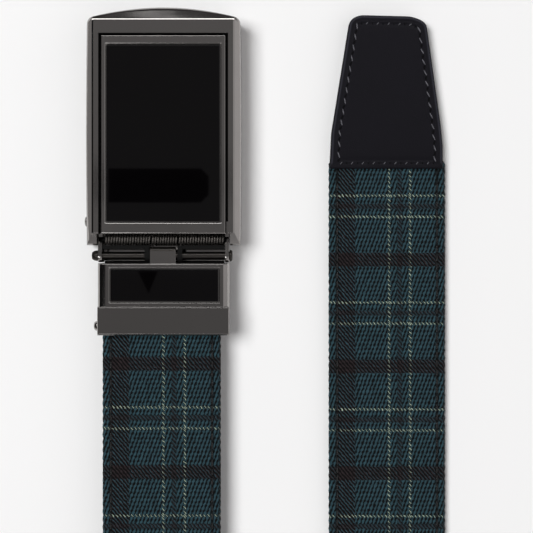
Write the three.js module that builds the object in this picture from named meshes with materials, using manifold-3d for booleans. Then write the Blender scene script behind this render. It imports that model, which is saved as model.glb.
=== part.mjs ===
// A canvas belt with a ratchet buckle, in millimetres, +Z up.
// It lies as it was laid out for the photograph: the buckle end and the leather tip side by side,
// front faces up, both straps running towards -Y. There the strap turns onto its edge and goes
// round in one loop that joins the two ends.
// The pieces are placed in a plan whose x and y are 0 between the two ends, and at the end the
// whole belt is moved so that the middle of its footprint is at the origin.
import * as THREE from "three";
import { mergeVertices } from "three/addons/utils/BufferGeometryUtils.js";
import Module from "manifold-3d";

const wasm = await Module();
wasm.setup();

// Driving dimensions of the strap
const GAP = 0.3;
const STRAP_WIDTH = 38;
const STRAP_THICK = 2.4;
const SELVEDGE = 0.6;
const BUCKLE_X = -33.25;
const STRAP_X = -34;
const TIP_X = 39.65;
const LEG_END_Y = -105;
const STRAP_START_Y = -2;
const CLAMP_STRAP_Z = 9;
const TIP_STRAP_Z = 2.6;
const TWIST_LENGTH = 140;
const LOOP_HALF_WIDTH = 114;
const LOOP_WIDE_Y = -330;
const LOOP_LOW_Y = -448;
const STRAP_STATIONS = 190;

// Driving dimensions of the leather tip and of the track behind the free end
const TIP_THICK = 5;
const BACK_PLY = 1.1;
const FRONT_PLY = 0.9;
const TIP_LOW_Y = 32.1;
const TIP_STRAP_END_Y = 60;
const RACK_WIDTH = 7;
const RACK_THICK = 1.1;
const TOOTH_DEPTH = 0.55;
const TOOTH_PITCH = 6;
const TEETH = 22;
const RACK_TOP_Y = 28;
const RAMP_END = 0.8;
const STEP_END = 0.86;

// The strap's half widths inside the leather, rows of [height in the plan, half width]
const TRIM = [[34, 19], [38, 16.4], [TIP_STRAP_END_Y, 13.4]];
const TRIM_GAP = 0.3;

// The leather's outline about the strap's middle line
const TIP_LOWER_LEFT = -18.9;
const TIP_LOWER_RIGHT = 18.2;
const TIP_RIGHT_SIDE = [[18.2, 39.5], [17.55, 46.1], [13, 78.6]];
const TIP_RIGHT_CORNER = [12.4, 81.1, 7.2, 82.1];
const TIP_TOP_LEFT = [-8.2, 82.5];
const TIP_LEFT_CORNER = [-12, 82, -12.6, 79.4];
const TIP_LEFT_SIDE = [-18.3, 44];

// Driving dimensions of the buckle's frame and plates
const FRAME_HALF = 24.8;
const FRAME_TOP_HALF = 22.5;
const FRAME_TOP_Z = 13;
const FRAME_LOW_Z = 0.4;
const FRAME_SIDE_Z = 11.05;
const FACET_WIDTH = 0.52;
const FACET_DROP = 0.13;
const SLOPE_AT_CORNER = 0.22;
const RAIL_END_Y = 6.9;
const RAIL_FACE_Y = 10.6;
const FAR_EDGE_Y = 79.35;
const FAR_CORNER_Y = 80.55;
const CREST = 3.1;
const WINDOW_HALF = 20.9;
const WINDOW_TOP_Y = 75.2;
const RAIL_INNER = 21.5;
const SLAB_Z = 10.3;
const LEDGE_Z = 11.1;
const SLOT_Z = 6.6;
const PLATE_HALF = 20.2;
const PLATE_LOW_Y = 10.45;
const PLATE_TOP_Y = 74.7;
const PLATE_TOP_Z = 12.8;
const PANEL_HALF = 18.4;
const PANEL_LOW_Y = 14.3;
const PANEL_TOP_Y = 71.55;
const PANEL_DEPTH = 0.8;
const PANEL_GAP = 0.15;
const PANEL_BEVEL = 0.15;
const RECESS_BEVEL = 0.2;

// Driving dimensions of the hinge, the spring and the channel
const HINGE_Y = 3.5;
const HINGE_Z = 9.9;
const HINGE_PIN_R = 1.3;
const FRAME_PIN_Y = 14.6;
const FRAME_PIN_Z = 7.9;
const FRAME_PIN_R = 1.1;
const SPRING_Y = 8.65;
const SPRING_Z = 8.9;
const SPRING_R = 1.85;
const SPRING_BORE_R = 1.1;
const AXLE_R = 0.8;
const RUNNING = 0.25;
const WALL_OUTER = 21.1;
const WALL_INNER = 19.9;
const BASE_THICK = 1.2;
const LUG_INNER = 4.5;
const LUG_OUTER = 6.1;
const LUG_R = 2.1;
const BAR_Y = [5.6, 6.8];
const BAR_Z = [10, 11.3];
const WALL_LOW_Z = 0.6;
const WALL_END_Y = 74;
const WALL_TOP_Z = 9.7;
const EAR_Y = 7.6;
const EAR_Z = 11.4;
const KNUCKLE_LEFT = -4.3;
const KNUCKLE_RIGHT = 3.95;
const KNUCKLE_R = 2.5;
const KNUCKLE_CORNER = { y: 1.5, z: 1.1, radius: 1.4 };
const PIN_HEAD_R = 1.7;
const SPRING_STRETCHES = [
  ["spring_left", -19.65, -4.5],
  ["spring_middle", -4.2, 4.2],
  ["spring_right", 4.5, 19.65],
];

// The catch: where it starts and ends along the channel, and the lowest point of its wedge
const PAWL_Y = [60, 72];
const PAWL_HALF = 5;
const PAWL_BODY_Z = 8.4;
const PAWL_WEDGE = [[67.5, 8.1], [70.4, 7], [72, 7.6]];

// Driving dimensions of the clamp
const CLAMP_HALF = 21.3;
const CLAMP_TOP_Y = 1.1;
const CLAMP_BAR_Y = -13;
const CLAMP_LOW_Y = -22.2;
const CLAMP_TOP_Z = 12.5;
const CLAMP_PLATE_HALF = 19.05;
const CLAMP_SHIFT = 0.3;
const CLAMP_SHOULDER = [20.6, 11.85];
const CLAMP_BEVEL_Z = 10.7;
const BAR_LIFT = 0.3;
const CLAMP_SIDE_Z = 5;
const CLAMP_ROOF_Z = 10.6;
const CLAMP_INNER = 19.8;
const CLAMP_PANEL = { left: -17.15, right: 17.85, low: -11.4, top: -0.64 };
const FLAP_Z = 6.35;
const FLAP_THICK = 1;
const FLAP_FRONT_Y = 1.9;
const CLAMP_PIN_Y = -19.4;
const CLAMP_PIN_Z = 6.2;
const CLAMP_PIN_R = 0.8;

const METAL = { color: 0x55524f, metalness: 1, roughness: 0.18 };
const GLOSS_BLACK = { color: 0x0b0a0b, metalness: 0, roughness: 0.08 };
const LEATHER = { color: 0x1c1b20, metalness: 0, roughness: 0.55 };
const CANVAS = { color: 0x22363c, metalness: 0, roughness: 0.9 };
const PLASTIC = { color: 0x17171a, metalness: 0, roughness: 0.5 };

// Solids, joining and cutting

function solidOf(geometry) {
  const bare = geometry.index ? geometry.toNonIndexed() : geometry.clone();
  bare.deleteAttribute("normal");
  bare.deleteAttribute("uv");
  const merged = mergeVertices(bare, 1e-4);
  return new wasm.Manifold(
    new wasm.Mesh({
      numProp: 3,
      vertProperties: new Float32Array(merged.attributes.position.array),
      triVerts: new Uint32Array(merged.index.array),
    }),
  );
}

function geometryOf(solid) {
  const mesh = solid.getMesh();
  const positions = new THREE.BufferAttribute(new Float32Array(mesh.vertProperties), 3);
  const geometry = new THREE.BufferGeometry().setAttribute("position", positions);
  geometry.setIndex(new THREE.BufferAttribute(new Uint32Array(mesh.triVerts), 1));
  return geometry;
}

function joined(first, ...others) {
  return geometryOf(others.reduce((all, next) => all.add(solidOf(next)), solidOf(first)));
}

function cut(first, ...cutters) {
  return geometryOf(cutters.reduce((left, next) => left.subtract(solidOf(next)), solidOf(first)));
}

// A closed solid through rings that have the same number of points, with a flat cap on each end.
function lofted(rings) {
  const count = rings[0].length;
  const positions = rings.flat().flatMap((p) => [p.x, p.y, p.z]);
  const index = [];
  for (let ring = 0; ring + 1 < rings.length; ring++) {
    for (let i = 0; i < count; i++) {
      const a = ring * count + i;
      const b = ring * count + ((i + 1) % count);
      index.push(a, b, b + count, a, b + count, a + count);
    }
  }
  const last = (rings.length - 1) * count;
  for (const [a, b, c] of capOf(rings[0])) index.push(c, b, a);
  for (const [a, b, c] of capOf(rings.at(-1))) index.push(last + a, last + b, last + c);
  const geometry = new THREE.BufferGeometry();
  geometry.setAttribute("position", new THREE.Float32BufferAttribute(positions, 3));
  geometry.setIndex(index);
  return geometry;
}

// The triangles of a flat ring, in the ring's own plane, turning the way the ring turns.
function capOf(ring) {
  const normal = new THREE.Vector3();
  ring.forEach((p, i) => normal.add(p.clone().cross(ring[(i + 1) % ring.length])));
  normal.normalize();
  const across = ring[1].clone().sub(ring[0]).normalize();
  const up = normal.clone().cross(across);
  const flat = ring.map((p) => new THREE.Vector2(p.dot(across), p.dot(up)));
  return THREE.ShapeUtils.triangulateShape(flat, []);
}

// A block between two corners whose upper edges are bevelled by the amount given.
function block([x0, y0, z0], [x1, y1, z1], bevel = 0) {
  const ring = (z, inset) => [
    new THREE.Vector3(x0 + inset, y0 + inset, z),
    new THREE.Vector3(x1 - inset, y0 + inset, z),
    new THREE.Vector3(x1 - inset, y1 - inset, z),
    new THREE.Vector3(x0 + inset, y1 - inset, z),
  ];
  const rings = [ring(z0, 0), ring(z1 - bevel, 0)];
  if (bevel) rings.push(ring(z1, bevel));
  return lofted(rings);
}

// A recess cutter: a block that widens by the bevel at the surface z1.
function recess([x0, y0, z0], [x1, y1, z1], bevel) {
  const low = block([x0, y0, z0], [x1, y1, z1 + 1]);
  const ring = (z, out) => [
    new THREE.Vector3(x0 - out, y0 - out, z),
    new THREE.Vector3(x1 + out, y0 - out, z),
    new THREE.Vector3(x1 + out, y1 + out, z),
    new THREE.Vector3(x0 - out, y1 + out, z),
  ];
  return joined(low, lofted([ring(z1 - bevel, 0), ring(z1 + bevel, 2 * bevel)]));
}

// A turned piece along X: rows of [x, radius], solid on its axis, round about (y, z).
function turned(rows, y, z, sides = 28) {
  const profile = [
    new THREE.Vector2(0, rows[0][0]),
    ...rows.map(([x, radius]) => new THREE.Vector2(radius, x)),
    new THREE.Vector2(0, rows.at(-1)[0]),
  ];
  const geometry = new THREE.LatheGeometry(profile, sides);
  geometry.rotateZ(-Math.PI / 2);
  geometry.translate(BUCKLE_X, y, z);
  return geometry;
}

function rod(x0, x1, radius, y, z, sides = 28) {
  return turned([[x0, radius], [x1, radius]], y, z, sides);
}

// A side profile drawn in y and z, with the thickness x0 to x1 about the buckle's middle.
function sidePlate(shape, x0, x1) {
  const geometry = new THREE.ExtrudeGeometry(shape, {
    depth: x1 - x0,
    bevelEnabled: false,
    curveSegments: 10,
  });
  geometry.rotateX(Math.PI / 2);
  geometry.rotateZ(Math.PI / 2);
  geometry.translate(BUCKLE_X + x0, 0, 0);
  return geometry;
}

// A block placed about the buckle's middle.
function buckleBlock([x0, y0, z0], [x1, y1, z1], bevel = 0) {
  return block([BUCKLE_X + x0, y0, z0], [BUCKLE_X + x1, y1, z1], bevel);
}

// The strap's route

// The middle line in plan: the buckle leg, one side of the loop, the other side, the tip leg.
function planRoute() {
  const middle = (STRAP_X + TIP_X) / 2;
  const p = (x, y) => new THREE.Vector2(x, y);
  const half = (x, sign) => {
    const wide = middle + sign * LOOP_HALF_WIDTH;
    const round = 0.56 * LOOP_HALF_WIDTH;
    return [
      new THREE.CubicBezierCurve(p(x, LEG_END_Y), p(x, -205), p(wide, -225), p(wide, LOOP_WIDE_Y)),
      new THREE.CubicBezierCurve(
        p(wide, LOOP_WIDE_Y),
        p(wide, LOOP_WIDE_Y - 65),
        p(middle + sign * round, LOOP_LOW_Y),
        p(middle, LOOP_LOW_Y),
      ),
    ];
  };
  const turnedRound = (c) => new THREE.CubicBezierCurve(c.v3, c.v2, c.v1, c.v0);
  const [rightHigh, rightLow] = half(TIP_X, 1);
  const route = new THREE.CurvePath();
  route.add(new THREE.LineCurve(p(STRAP_X, STRAP_START_Y), p(STRAP_X, LEG_END_Y)));
  half(STRAP_X, -1).forEach((curve) => route.add(curve));
  route.add(turnedRound(rightLow));
  route.add(turnedRound(rightHigh));
  route.add(new THREE.LineCurve(p(TIP_X, LEG_END_Y), p(TIP_X, TIP_STRAP_END_Y)));
  return route;
}

const route = planRoute();
const routeLength = route.getLength();
const buckleLeg = STRAP_START_Y - LEG_END_Y;
const tipLeg = TIP_STRAP_END_Y - LEG_END_Y;

// How far the strap has turned onto its edge at a distance along the route, in radians.
function turnAt(s) {
  const first = THREE.MathUtils.smoothstep(s, buckleLeg, buckleLeg + TWIST_LENGTH);
  const last = THREE.MathUtils.smoothstep(routeLength - s, tipLeg, tipLeg + TWIST_LENGTH);
  return (Math.PI / 2) * Math.min(first, last);
}

// The height of the middle line: the lower edge stays on the ground where the strap turns, and
// the buckle leg hangs free between the clamp and the part that stands on its edge.
function heightAt(s) {
  const turn = turnAt(s);
  const onEdge = (STRAP_WIDTH / 2) * Math.sin(turn);
  if (s > routeLength / 2) return onEdge + TIP_STRAP_Z * Math.cos(turn);
  const free = CLAMP_STRAP_Z + (STRAP_WIDTH / 2 - CLAMP_STRAP_Z) * Math.sin(turn);
  return Math.max(free, onEdge + (STRAP_THICK / 2) * Math.cos(turn));
}

function pointAt(s) {
  const plan = route.getPointAt(THREE.MathUtils.clamp(s / routeLength, 0, 1));
  return new THREE.Vector3(plan.x, plan.y, heightAt(s));
}

// The strap's place at s: its middle, the direction across it and the direction off its face.
function frameAt(s) {
  const step = 0.5;
  const before = pointAt(Math.max(0, s - step));
  const after = pointAt(Math.min(routeLength, s + step));
  const along = after.sub(before).normalize();
  const flatNormal = new THREE.Vector3(0, 0, 1).addScaledVector(along, -along.z).normalize();
  const flatAcross = along.clone().cross(flatNormal);
  const turn = turnAt(s);
  const normal = flatNormal.clone().multiplyScalar(Math.cos(turn));
  normal.addScaledVector(flatAcross, Math.sin(turn));
  return { middle: pointAt(s), across: along.clone().cross(normal), normal };
}

// Points of a section, rows of [across, off the face], at a distance along the strap.
function sectionAt(s, rows) {
  const { middle, across, normal } = frameAt(s);
  const place = ([a, n]) => middle.clone().addScaledVector(across, a).addScaledVector(normal, n);
  return rows.map(place);
}

// The strap is trimmed to a taper inside the leather.
function strapHalfAt(s) {
  const y = TIP_STRAP_END_Y - (routeLength - s);
  const [start, shoulder, end] = TRIM;
  if (s < routeLength / 2 || y < start[0]) return STRAP_WIDTH / 2;
  const [from, to] = y < shoulder[0] ? [start, shoulder] : [shoulder, end];
  return THREE.MathUtils.mapLinear(y, from[0], to[0], from[1], to[1]);
}

function strapStations() {
  const stations = [0];
  const loopStart = buckleLeg;
  const loopEnd = routeLength - tipLeg;
  for (let i = 0; i <= STRAP_STATIONS; i++) {
    stations.push(THREE.MathUtils.lerp(loopStart, loopEnd, i / STRAP_STATIONS));
  }
  for (const [y] of TRIM) {
    stations.push(routeLength - (TIP_STRAP_END_Y - y));
  }
  return stations;
}

function strap() {
  const face = STRAP_THICK / 2;
  const rings = strapStations().map((s) => {
    const half = strapHalfAt(s);
    return sectionAt(s, [
      [-half, 0],
      [-half + SELVEDGE, face],
      [half - SELVEDGE, face],
      [half, 0],
      [half - SELVEDGE, -face],
      [-half + SELVEDGE, -face],
    ]);
  });
  return lofted(rings);
}

// The leather tip

// The tip's outline, about the strap's middle line, drawn in by an inset.
function tipOutline(inset) {
  const low = TIP_LOW_Y + inset;
  const [rightX, rightY, rightEndX, rightEndY] = TIP_RIGHT_CORNER;
  const [leftX, leftY, leftEndX, leftEndY] = TIP_LEFT_CORNER;
  const shape = new THREE.Shape();
  shape.moveTo(TIP_LOWER_LEFT + inset, low);
  shape.lineTo(TIP_LOWER_RIGHT - inset, low);
  for (const [x, y] of TIP_RIGHT_SIDE) shape.lineTo(x - inset, y);
  shape.quadraticCurveTo(rightX - inset, rightY - inset, rightEndX, rightEndY - inset);
  shape.lineTo(TIP_TOP_LEFT[0], TIP_TOP_LEFT[1] - inset);
  shape.quadraticCurveTo(leftX + inset, leftY - inset, leftEndX + inset, leftEndY);
  shape.lineTo(TIP_LEFT_SIDE[0] + inset, TIP_LEFT_SIDE[1]);
  return shape.getPoints(5).slice(0, -1);
}

function leatherTip() {
  const top = TIP_THICK;
  const levels = [[0, 0.4], [0.5, 0], [top - 0.8, 0], [top - 0.25, 0.3], [top, 0.9]];
  const rings = levels.map(([z, inset]) => {
    return tipOutline(inset).map((p) => new THREE.Vector3(TIP_X + p.x, p.y, z));
  });
  const [start, shoulder, end] = TRIM.map(([y, half]) => [half + TRIM_GAP, y + TRIM_GAP]);
  const slot = [[start[0], TIP_LOW_Y - 2], start, shoulder, end];
  const slotRing = (z) => [
    ...slot.map(([x, y]) => new THREE.Vector3(TIP_X + x, y, z)),
    ...slot.map(([x, y]) => new THREE.Vector3(TIP_X - x, y, z)).reverse(),
  ];
  return cut(lofted(rings), lofted([slotRing(BACK_PLY), slotRing(TIP_THICK - FRONT_PLY)]));
}

// The toothed track behind the free end, each tooth a ramp and a step.
function ratchetRack() {
  const back = -(TIP_STRAP_Z - RACK_THICK);
  const root = -(TIP_STRAP_Z - TOOTH_DEPTH);
  const tip = -TIP_STRAP_Z;
  const end = routeLength - (TIP_STRAP_END_Y - RACK_TOP_Y);
  const rings = [];
  for (let tooth = TEETH; tooth > 0; tooth--) {
    const s = end - tooth * TOOTH_PITCH;
    rings.push(rackRing(s, back, root), rackRing(s + TOOTH_PITCH * RAMP_END, back, tip));
    rings.push(rackRing(s + TOOTH_PITCH * STEP_END, back, root));
  }
  rings.push(rackRing(end, back, root));
  return lofted(rings);
}

function rackRing(s, back, front) {
  const half = RACK_WIDTH / 2;
  return sectionAt(s, [[-half, front], [-half, back], [half, back], [half, front]]);
}

// The buckle's frame

// The frame's outline about the buckle's middle: straight rails that bow a little, rounded far
// corners and an arched far end. The drop is how far it lies below the facet round the top: at the
// far end that shrinks towards the corners, where the slope is narrow.
function frameRing({ z, half, low, corner, crest, round, bow, drop = 0 }) {
  const points = [new THREE.Vector3(-half, low, z), new THREE.Vector3(half, low, z)];
  const sideSteps = 6;
  const cornerSteps = 8;
  const endSteps = 24;
  const side = [];
  const raised = (t) => drop * (1 - (SLOPE_AT_CORNER + (1 - SLOPE_AT_CORNER) * (1 - t * t)));
  for (let i = 1; i < sideSteps; i++) {
    const t = i / sideSteps;
    const y = THREE.MathUtils.lerp(low, corner - round, t);
    side.push([half + bow * 4 * t * (1 - t), y, z]);
  }
  for (let i = 0; i <= cornerSteps; i++) {
    const angle = (Math.PI / 2) * (i / cornerSteps);
    const x = half - round * (1 - Math.cos(angle));
    const height = z + raised(1) * (1 - Math.cos(angle));
    side.push([x, corner - round * (1 - Math.sin(angle)), height]);
  }
  for (const [x, y, height] of side) points.push(new THREE.Vector3(x, y, height));
  for (let i = 1; i < endSteps; i++) {
    const t = 1 - (2 * i) / endSteps;
    const y = corner + crest * (1 - t * t);
    points.push(new THREE.Vector3((half - round) * t, y, z + raised(t)));
  }
  for (const [x, y, height] of side.reverse()) points.push(new THREE.Vector3(-x, y, height));
  for (const point of points) point.x += BUCKLE_X;
  return points;
}

// The sides slope in to a narrow facet, which goes round the flat top face.
function buckleFrame() {
  const outer = {
    half: FRAME_HALF,
    low: RAIL_END_Y,
    corner: FAR_CORNER_Y,
    crest: CREST,
    round: 2.2,
    bow: 0.25,
  };
  const edge = {
    half: FRAME_TOP_HALF + FACET_WIDTH,
    low: RAIL_FACE_Y,
    corner: FAR_EDGE_Y + FACET_WIDTH,
    crest: 0.02,
    round: 0.5,
    bow: 0,
  };
  const top = { ...edge, half: FRAME_TOP_HALF, low: RAIL_FACE_Y + 0.3, corner: FAR_EDGE_Y };
  const edgeZ = FRAME_TOP_Z - FACET_DROP;
  const between = (climb, share) => {
    const z = THREE.MathUtils.lerp(FRAME_SIDE_Z, edgeZ, climb);
    const level = { z, drop: edgeZ - z };
    for (const key of Object.keys(outer)) {
      level[key] = THREE.MathUtils.lerp(outer[key], edge[key], share);
    }
    return level;
  };
  const levels = [
    { z: FRAME_LOW_Z, ...outer },
    { z: FRAME_SIDE_Z, drop: edgeZ - FRAME_SIDE_Z, ...outer },
    between(0.3, 0.12),
    between(0.55, 0.36),
    between(0.84, 0.76),
    { z: edgeZ, ...edge },
    { z: FRAME_TOP_Z, ...top },
  ];
  const beyond = FAR_CORNER_Y + 10;
  return cut(
    lofted(levels.map(frameRing)),
    buckleBlock([-RAIL_INNER, -1, -1], [RAIL_INNER, WINDOW_TOP_Y + 1.5, SLAB_Z]),
    buckleBlock([-RAIL_INNER, -1, -1], [RAIL_INNER, beyond, SLOT_Z]),
    buckleBlock([-WINDOW_HALF, -1, LEDGE_Z], [WINDOW_HALF, WINDOW_TOP_Y, FRAME_TOP_Z + 1]),
    buckleBlock([-RAIL_INNER, -1, SLAB_Z - 1], [RAIL_INNER, FRAME_PIN_Y, LEDGE_Z + 0.3]),
    buckleBlock([-RAIL_INNER, -1, SLAB_Z - 1], [RAIL_INNER, RAIL_FACE_Y, FRAME_TOP_Z + 1]),
    sidePlate(heelShape(), -FRAME_HALF - 1, FRAME_HALF + 1),
    rod(-FRAME_HALF - 1, FRAME_HALF + 1, FRAME_PIN_R + RUNNING, FRAME_PIN_Y, FRAME_PIN_Z),
  );
}

// The rails' undersides rise towards the hinge, so that they clear the surface as the face tilts.
function heelShape() {
  const shape = new THREE.Shape();
  shape.moveTo(FRAME_PIN_Y, -1);
  shape.lineTo(FRAME_PIN_Y, 0);
  shape.lineTo(RAIL_END_Y - 1, 1.65);
  shape.lineTo(RAIL_END_Y - 1, -1);
  return shape;
}

function facePlate() {
  const bevel = 0.35;
  const plate = buckleBlock(
    [-PLATE_HALF, PLATE_LOW_Y, LEDGE_Z + GAP],
    [PLATE_HALF, PLATE_TOP_Y, PLATE_TOP_Z],
    bevel,
  );
  const half = PANEL_HALF + PANEL_GAP;
  const cutter = recess(
    [BUCKLE_X - half, PANEL_LOW_Y - PANEL_GAP, PLATE_TOP_Z - PANEL_DEPTH - GAP],
    [BUCKLE_X + half, PANEL_TOP_Y + PANEL_GAP, PLATE_TOP_Z],
    RECESS_BEVEL,
  );
  return cut(plate, cutter);
}

function facePanel() {
  return buckleBlock(
    [-PANEL_HALF + PANEL_GAP, PANEL_LOW_Y + PANEL_GAP, PLATE_TOP_Z - PANEL_DEPTH],
    [PANEL_HALF - PANEL_GAP, PANEL_TOP_Y - PANEL_GAP, PLATE_TOP_Z],
    PANEL_BEVEL,
  );
}

// A pin's domed head on the left: from its end to its seat, which is the distance given off the
// buckle's middle.
function pinHead(seat, thick) {
  const rim = [[-seat - thick * 0.3, PIN_HEAD_R], [-seat, PIN_HEAD_R]];
  return [[-seat - thick, 1.1], [-seat - thick * 0.7, 1.5], ...rim];
}

function framePin() {
  const end = FRAME_HALF + 0.1;
  const seat = end + RUNNING;
  return turned([...pinHead(seat, 0.65), [-seat, FRAME_PIN_R], [end, FRAME_PIN_R]], FRAME_PIN_Y, FRAME_PIN_Z);
}

// The catch under the slab: a block with a wedge that drops between two teeth of the track.
function pawl() {
  const [start, end] = PAWL_Y;
  const shape = new THREE.Shape();
  shape.moveTo(end, SLAB_Z - GAP);
  shape.lineTo(start, SLAB_Z - GAP);
  shape.lineTo(start, PAWL_BODY_Z);
  for (const [y, z] of PAWL_WEDGE) shape.lineTo(y, z);
  return sidePlate(shape, -PAWL_HALF, PAWL_HALF);
}

// The housing: channel, ears, lugs and bridge bars

function wallShape() {
  const shape = new THREE.Shape();
  shape.moveTo(HINGE_Y - 0.5, WALL_LOW_Z);
  shape.lineTo(WALL_END_Y, WALL_LOW_Z);
  shape.lineTo(WALL_END_Y, WALL_TOP_Z - 1.5);
  shape.lineTo(WALL_END_Y - 1.5, WALL_TOP_Z);
  shape.lineTo(EAR_Y + 2, WALL_TOP_Z);
  shape.lineTo(EAR_Y, EAR_Z);
  shape.lineTo(HINGE_Y, HINGE_Z + LUG_R);
  shape.absarc(HINGE_Y, HINGE_Z, LUG_R, Math.PI / 2, Math.PI, false);
  shape.lineTo(HINGE_Y - LUG_R, 6);
  return shape;
}

function lugShape() {
  const shape = new THREE.Shape();
  shape.moveTo(BAR_Y[1], BAR_Z[0]);
  shape.lineTo(BAR_Y[1], BAR_Z[1]);
  shape.lineTo(HINGE_Y, HINGE_Z + LUG_R);
  shape.absarc(HINGE_Y, HINGE_Z, LUG_R, Math.PI / 2, (Math.PI * 3) / 2, false);
  return shape;
}

function housing() {
  const pieces = [buckleBlock([-WALL_OUTER, 2, 0], [WALL_OUTER, 76, BASE_THICK])];
  for (const side of [-1, 1]) {
    const across = (a, b) => (side < 0 ? [-b, -a] : [a, b]);
    const [wallA, wallB] = across(WALL_INNER, WALL_OUTER);
    const [lugA, lugB] = across(LUG_INNER, LUG_OUTER);
    const [barA, barB] = across(LUG_INNER, WALL_OUTER);
    pieces.push(sidePlate(wallShape(), wallA, wallB));
    pieces.push(sidePlate(lugShape(), lugA, lugB));
    pieces.push(buckleBlock([barA, BAR_Y[0], BAR_Z[0]], [barB, BAR_Y[1], BAR_Z[1]]));
  }
  const reach = WALL_OUTER + 1;
  return cut(
    joined(...pieces),
    rod(-reach, reach, HINGE_PIN_R + RUNNING, HINGE_Y, HINGE_Z),
    rod(-reach, reach, AXLE_R + RUNNING, SPRING_Y, SPRING_Z),
    rod(-reach, reach, FRAME_PIN_R + RUNNING, FRAME_PIN_Y, FRAME_PIN_Z),
  );
}

function hingePin() {
  const seat = WALL_OUTER + 0.2;
  const rivet = [[seat, 1.9], [seat + 0.3, 1.9], [seat + 0.8, PIN_HEAD_R], [seat + 1, 1.2]];
  const shaft = [[-seat, HINGE_PIN_R], [seat, HINGE_PIN_R]];
  return turned([...pinHead(seat, 1.9), ...shaft, ...rivet], HINGE_Y, HINGE_Z);
}

// One stretch of the close-wound spring, as the tube that its coils fill.
function springTube(x0, x1) {
  const rows = [[x0, SPRING_BORE_R], [x0, SPRING_R], [x1, SPRING_R], [x1, SPRING_BORE_R]];
  const profile = [...rows, rows[0]].map(([x, radius]) => new THREE.Vector2(radius, x));
  const geometry = new THREE.LatheGeometry(profile, 20);
  geometry.rotateZ(-Math.PI / 2);
  geometry.translate(BUCKLE_X, SPRING_Y, SPRING_Z);
  return geometry;
}

// The clamp

// The clamp's cross-section in x and z about the buckle's middle: its right side, from the side
// wall to the flat top, and the same mirrored. What lies above the shoulders can be shifted.
function clampSection(y, rightSide, shift = 0) {
  const right = [[CLAMP_HALF, CLAMP_SIDE_Z], ...rightSide];
  const left = right.map(([x, z]) => [-x, z]).reverse();
  return [...right, ...left].map(([x, z]) => {
    return new THREE.Vector3(BUCKLE_X + x + (z > CLAMP_SHOULDER[1] ? shift : 0), y, z);
  });
}

// The knuckle's side profile: round below the pin, flat on top, with a rounded front corner.
function knuckleShape() {
  const { y, z, radius } = KNUCKLE_CORNER;
  const shape = new THREE.Shape();
  shape.moveTo(CLAMP_TOP_Y - 1, CLAMP_ROOF_Z + 0.2);
  shape.lineTo(HINGE_Y - KNUCKLE_R, HINGE_Z);
  shape.absarc(HINGE_Y, HINGE_Z, KNUCKLE_R, Math.PI, 2 * Math.PI, false);
  shape.lineTo(HINGE_Y + y + radius, HINGE_Z + z);
  shape.absarc(HINGE_Y + y, HINGE_Z + z, radius, 0, Math.PI / 2, false);
  shape.lineTo(CLAMP_TOP_Y - 1, HINGE_Z + KNUCKLE_R);
  return shape;
}

function clampBody() {
  const side = [CLAMP_HALF, CLAMP_BEVEL_Z];
  const plateEdge = [CLAMP_PLATE_HALF, CLAMP_TOP_Z];
  const lowered = ([x, z]) => [x, z - 0.3];
  const upper = lofted([
    clampSection(CLAMP_TOP_Y, [side, CLAMP_SHOULDER, plateEdge].map(lowered), CLAMP_SHIFT),
    clampSection(CLAMP_TOP_Y - 0.4, [side, CLAMP_SHOULDER, plateEdge], CLAMP_SHIFT),
    clampSection(CLAMP_BAR_Y, [side, CLAMP_SHOULDER, plateEdge], CLAMP_SHIFT),
  ]);
  const barTop = CLAMP_TOP_Z + BAR_LIFT;
  const barSection = (y, top) => {
    const edge = CLAMP_HALF - BAR_LIFT;
    return clampSection(y, [[CLAMP_HALF, top - 0.3], [edge + 0.1, top - 0.08], [edge, top]]);
  };
  const bar = lofted([
    barSection(CLAMP_BAR_Y + 0.02, barTop - 0.25),
    barSection(CLAMP_BAR_Y - 0.25, barTop),
    barSection(CLAMP_LOW_Y + 0.5, barTop),
    barSection(CLAMP_LOW_Y, barTop - 0.5),
  ]);
  const knuckle = sidePlate(knuckleShape(), KNUCKLE_LEFT, KNUCKLE_RIGHT);
  const p = CLAMP_PANEL;
  return cut(
    joined(upper, bar, knuckle),
    buckleBlock([-CLAMP_INNER, CLAMP_LOW_Y - 1, -1], [CLAMP_INNER, -0.4, CLAMP_ROOF_Z]),
    buckleBlock([-CLAMP_INNER, -0.5, -1], [CLAMP_INNER, CLAMP_TOP_Y + 0.5, 7.4]),
    recess(
      [BUCKLE_X + p.left - PANEL_GAP, p.low - PANEL_GAP, CLAMP_TOP_Z - PANEL_DEPTH - GAP],
      [BUCKLE_X + p.right + PANEL_GAP, p.top + PANEL_GAP, CLAMP_TOP_Z],
      RECESS_BEVEL,
    ),
    rod(KNUCKLE_LEFT - 1, KNUCKLE_RIGHT + 1, HINGE_PIN_R + RUNNING, HINGE_Y, HINGE_Z),
    rod(-CLAMP_HALF - 1, CLAMP_HALF + 1, CLAMP_PIN_R + RUNNING, CLAMP_PIN_Y, CLAMP_PIN_Z),
  );
}

function clampPanel() {
  const p = CLAMP_PANEL;
  return buckleBlock(
    [p.left + PANEL_GAP, p.low + PANEL_GAP, CLAMP_TOP_Z - PANEL_DEPTH],
    [p.right - PANEL_GAP, p.top - PANEL_GAP, CLAMP_TOP_Z],
    PANEL_BEVEL,
  );
}

function clampFlap() {
  const half = CLAMP_INNER - GAP;
  const plate = buckleBlock([-half, CLAMP_PIN_Y, FLAP_Z], [half, FLAP_FRONT_Y, FLAP_Z + FLAP_THICK]);
  const bore = CLAMP_PIN_R + RUNNING;
  const barrel = rod(-half, half, bore + 0.45, CLAMP_PIN_Y, CLAMP_PIN_Z);
  return cut(joined(plate, barrel), rod(-half - 1, half + 1, bore, CLAMP_PIN_Y, CLAMP_PIN_Z));
}

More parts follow.
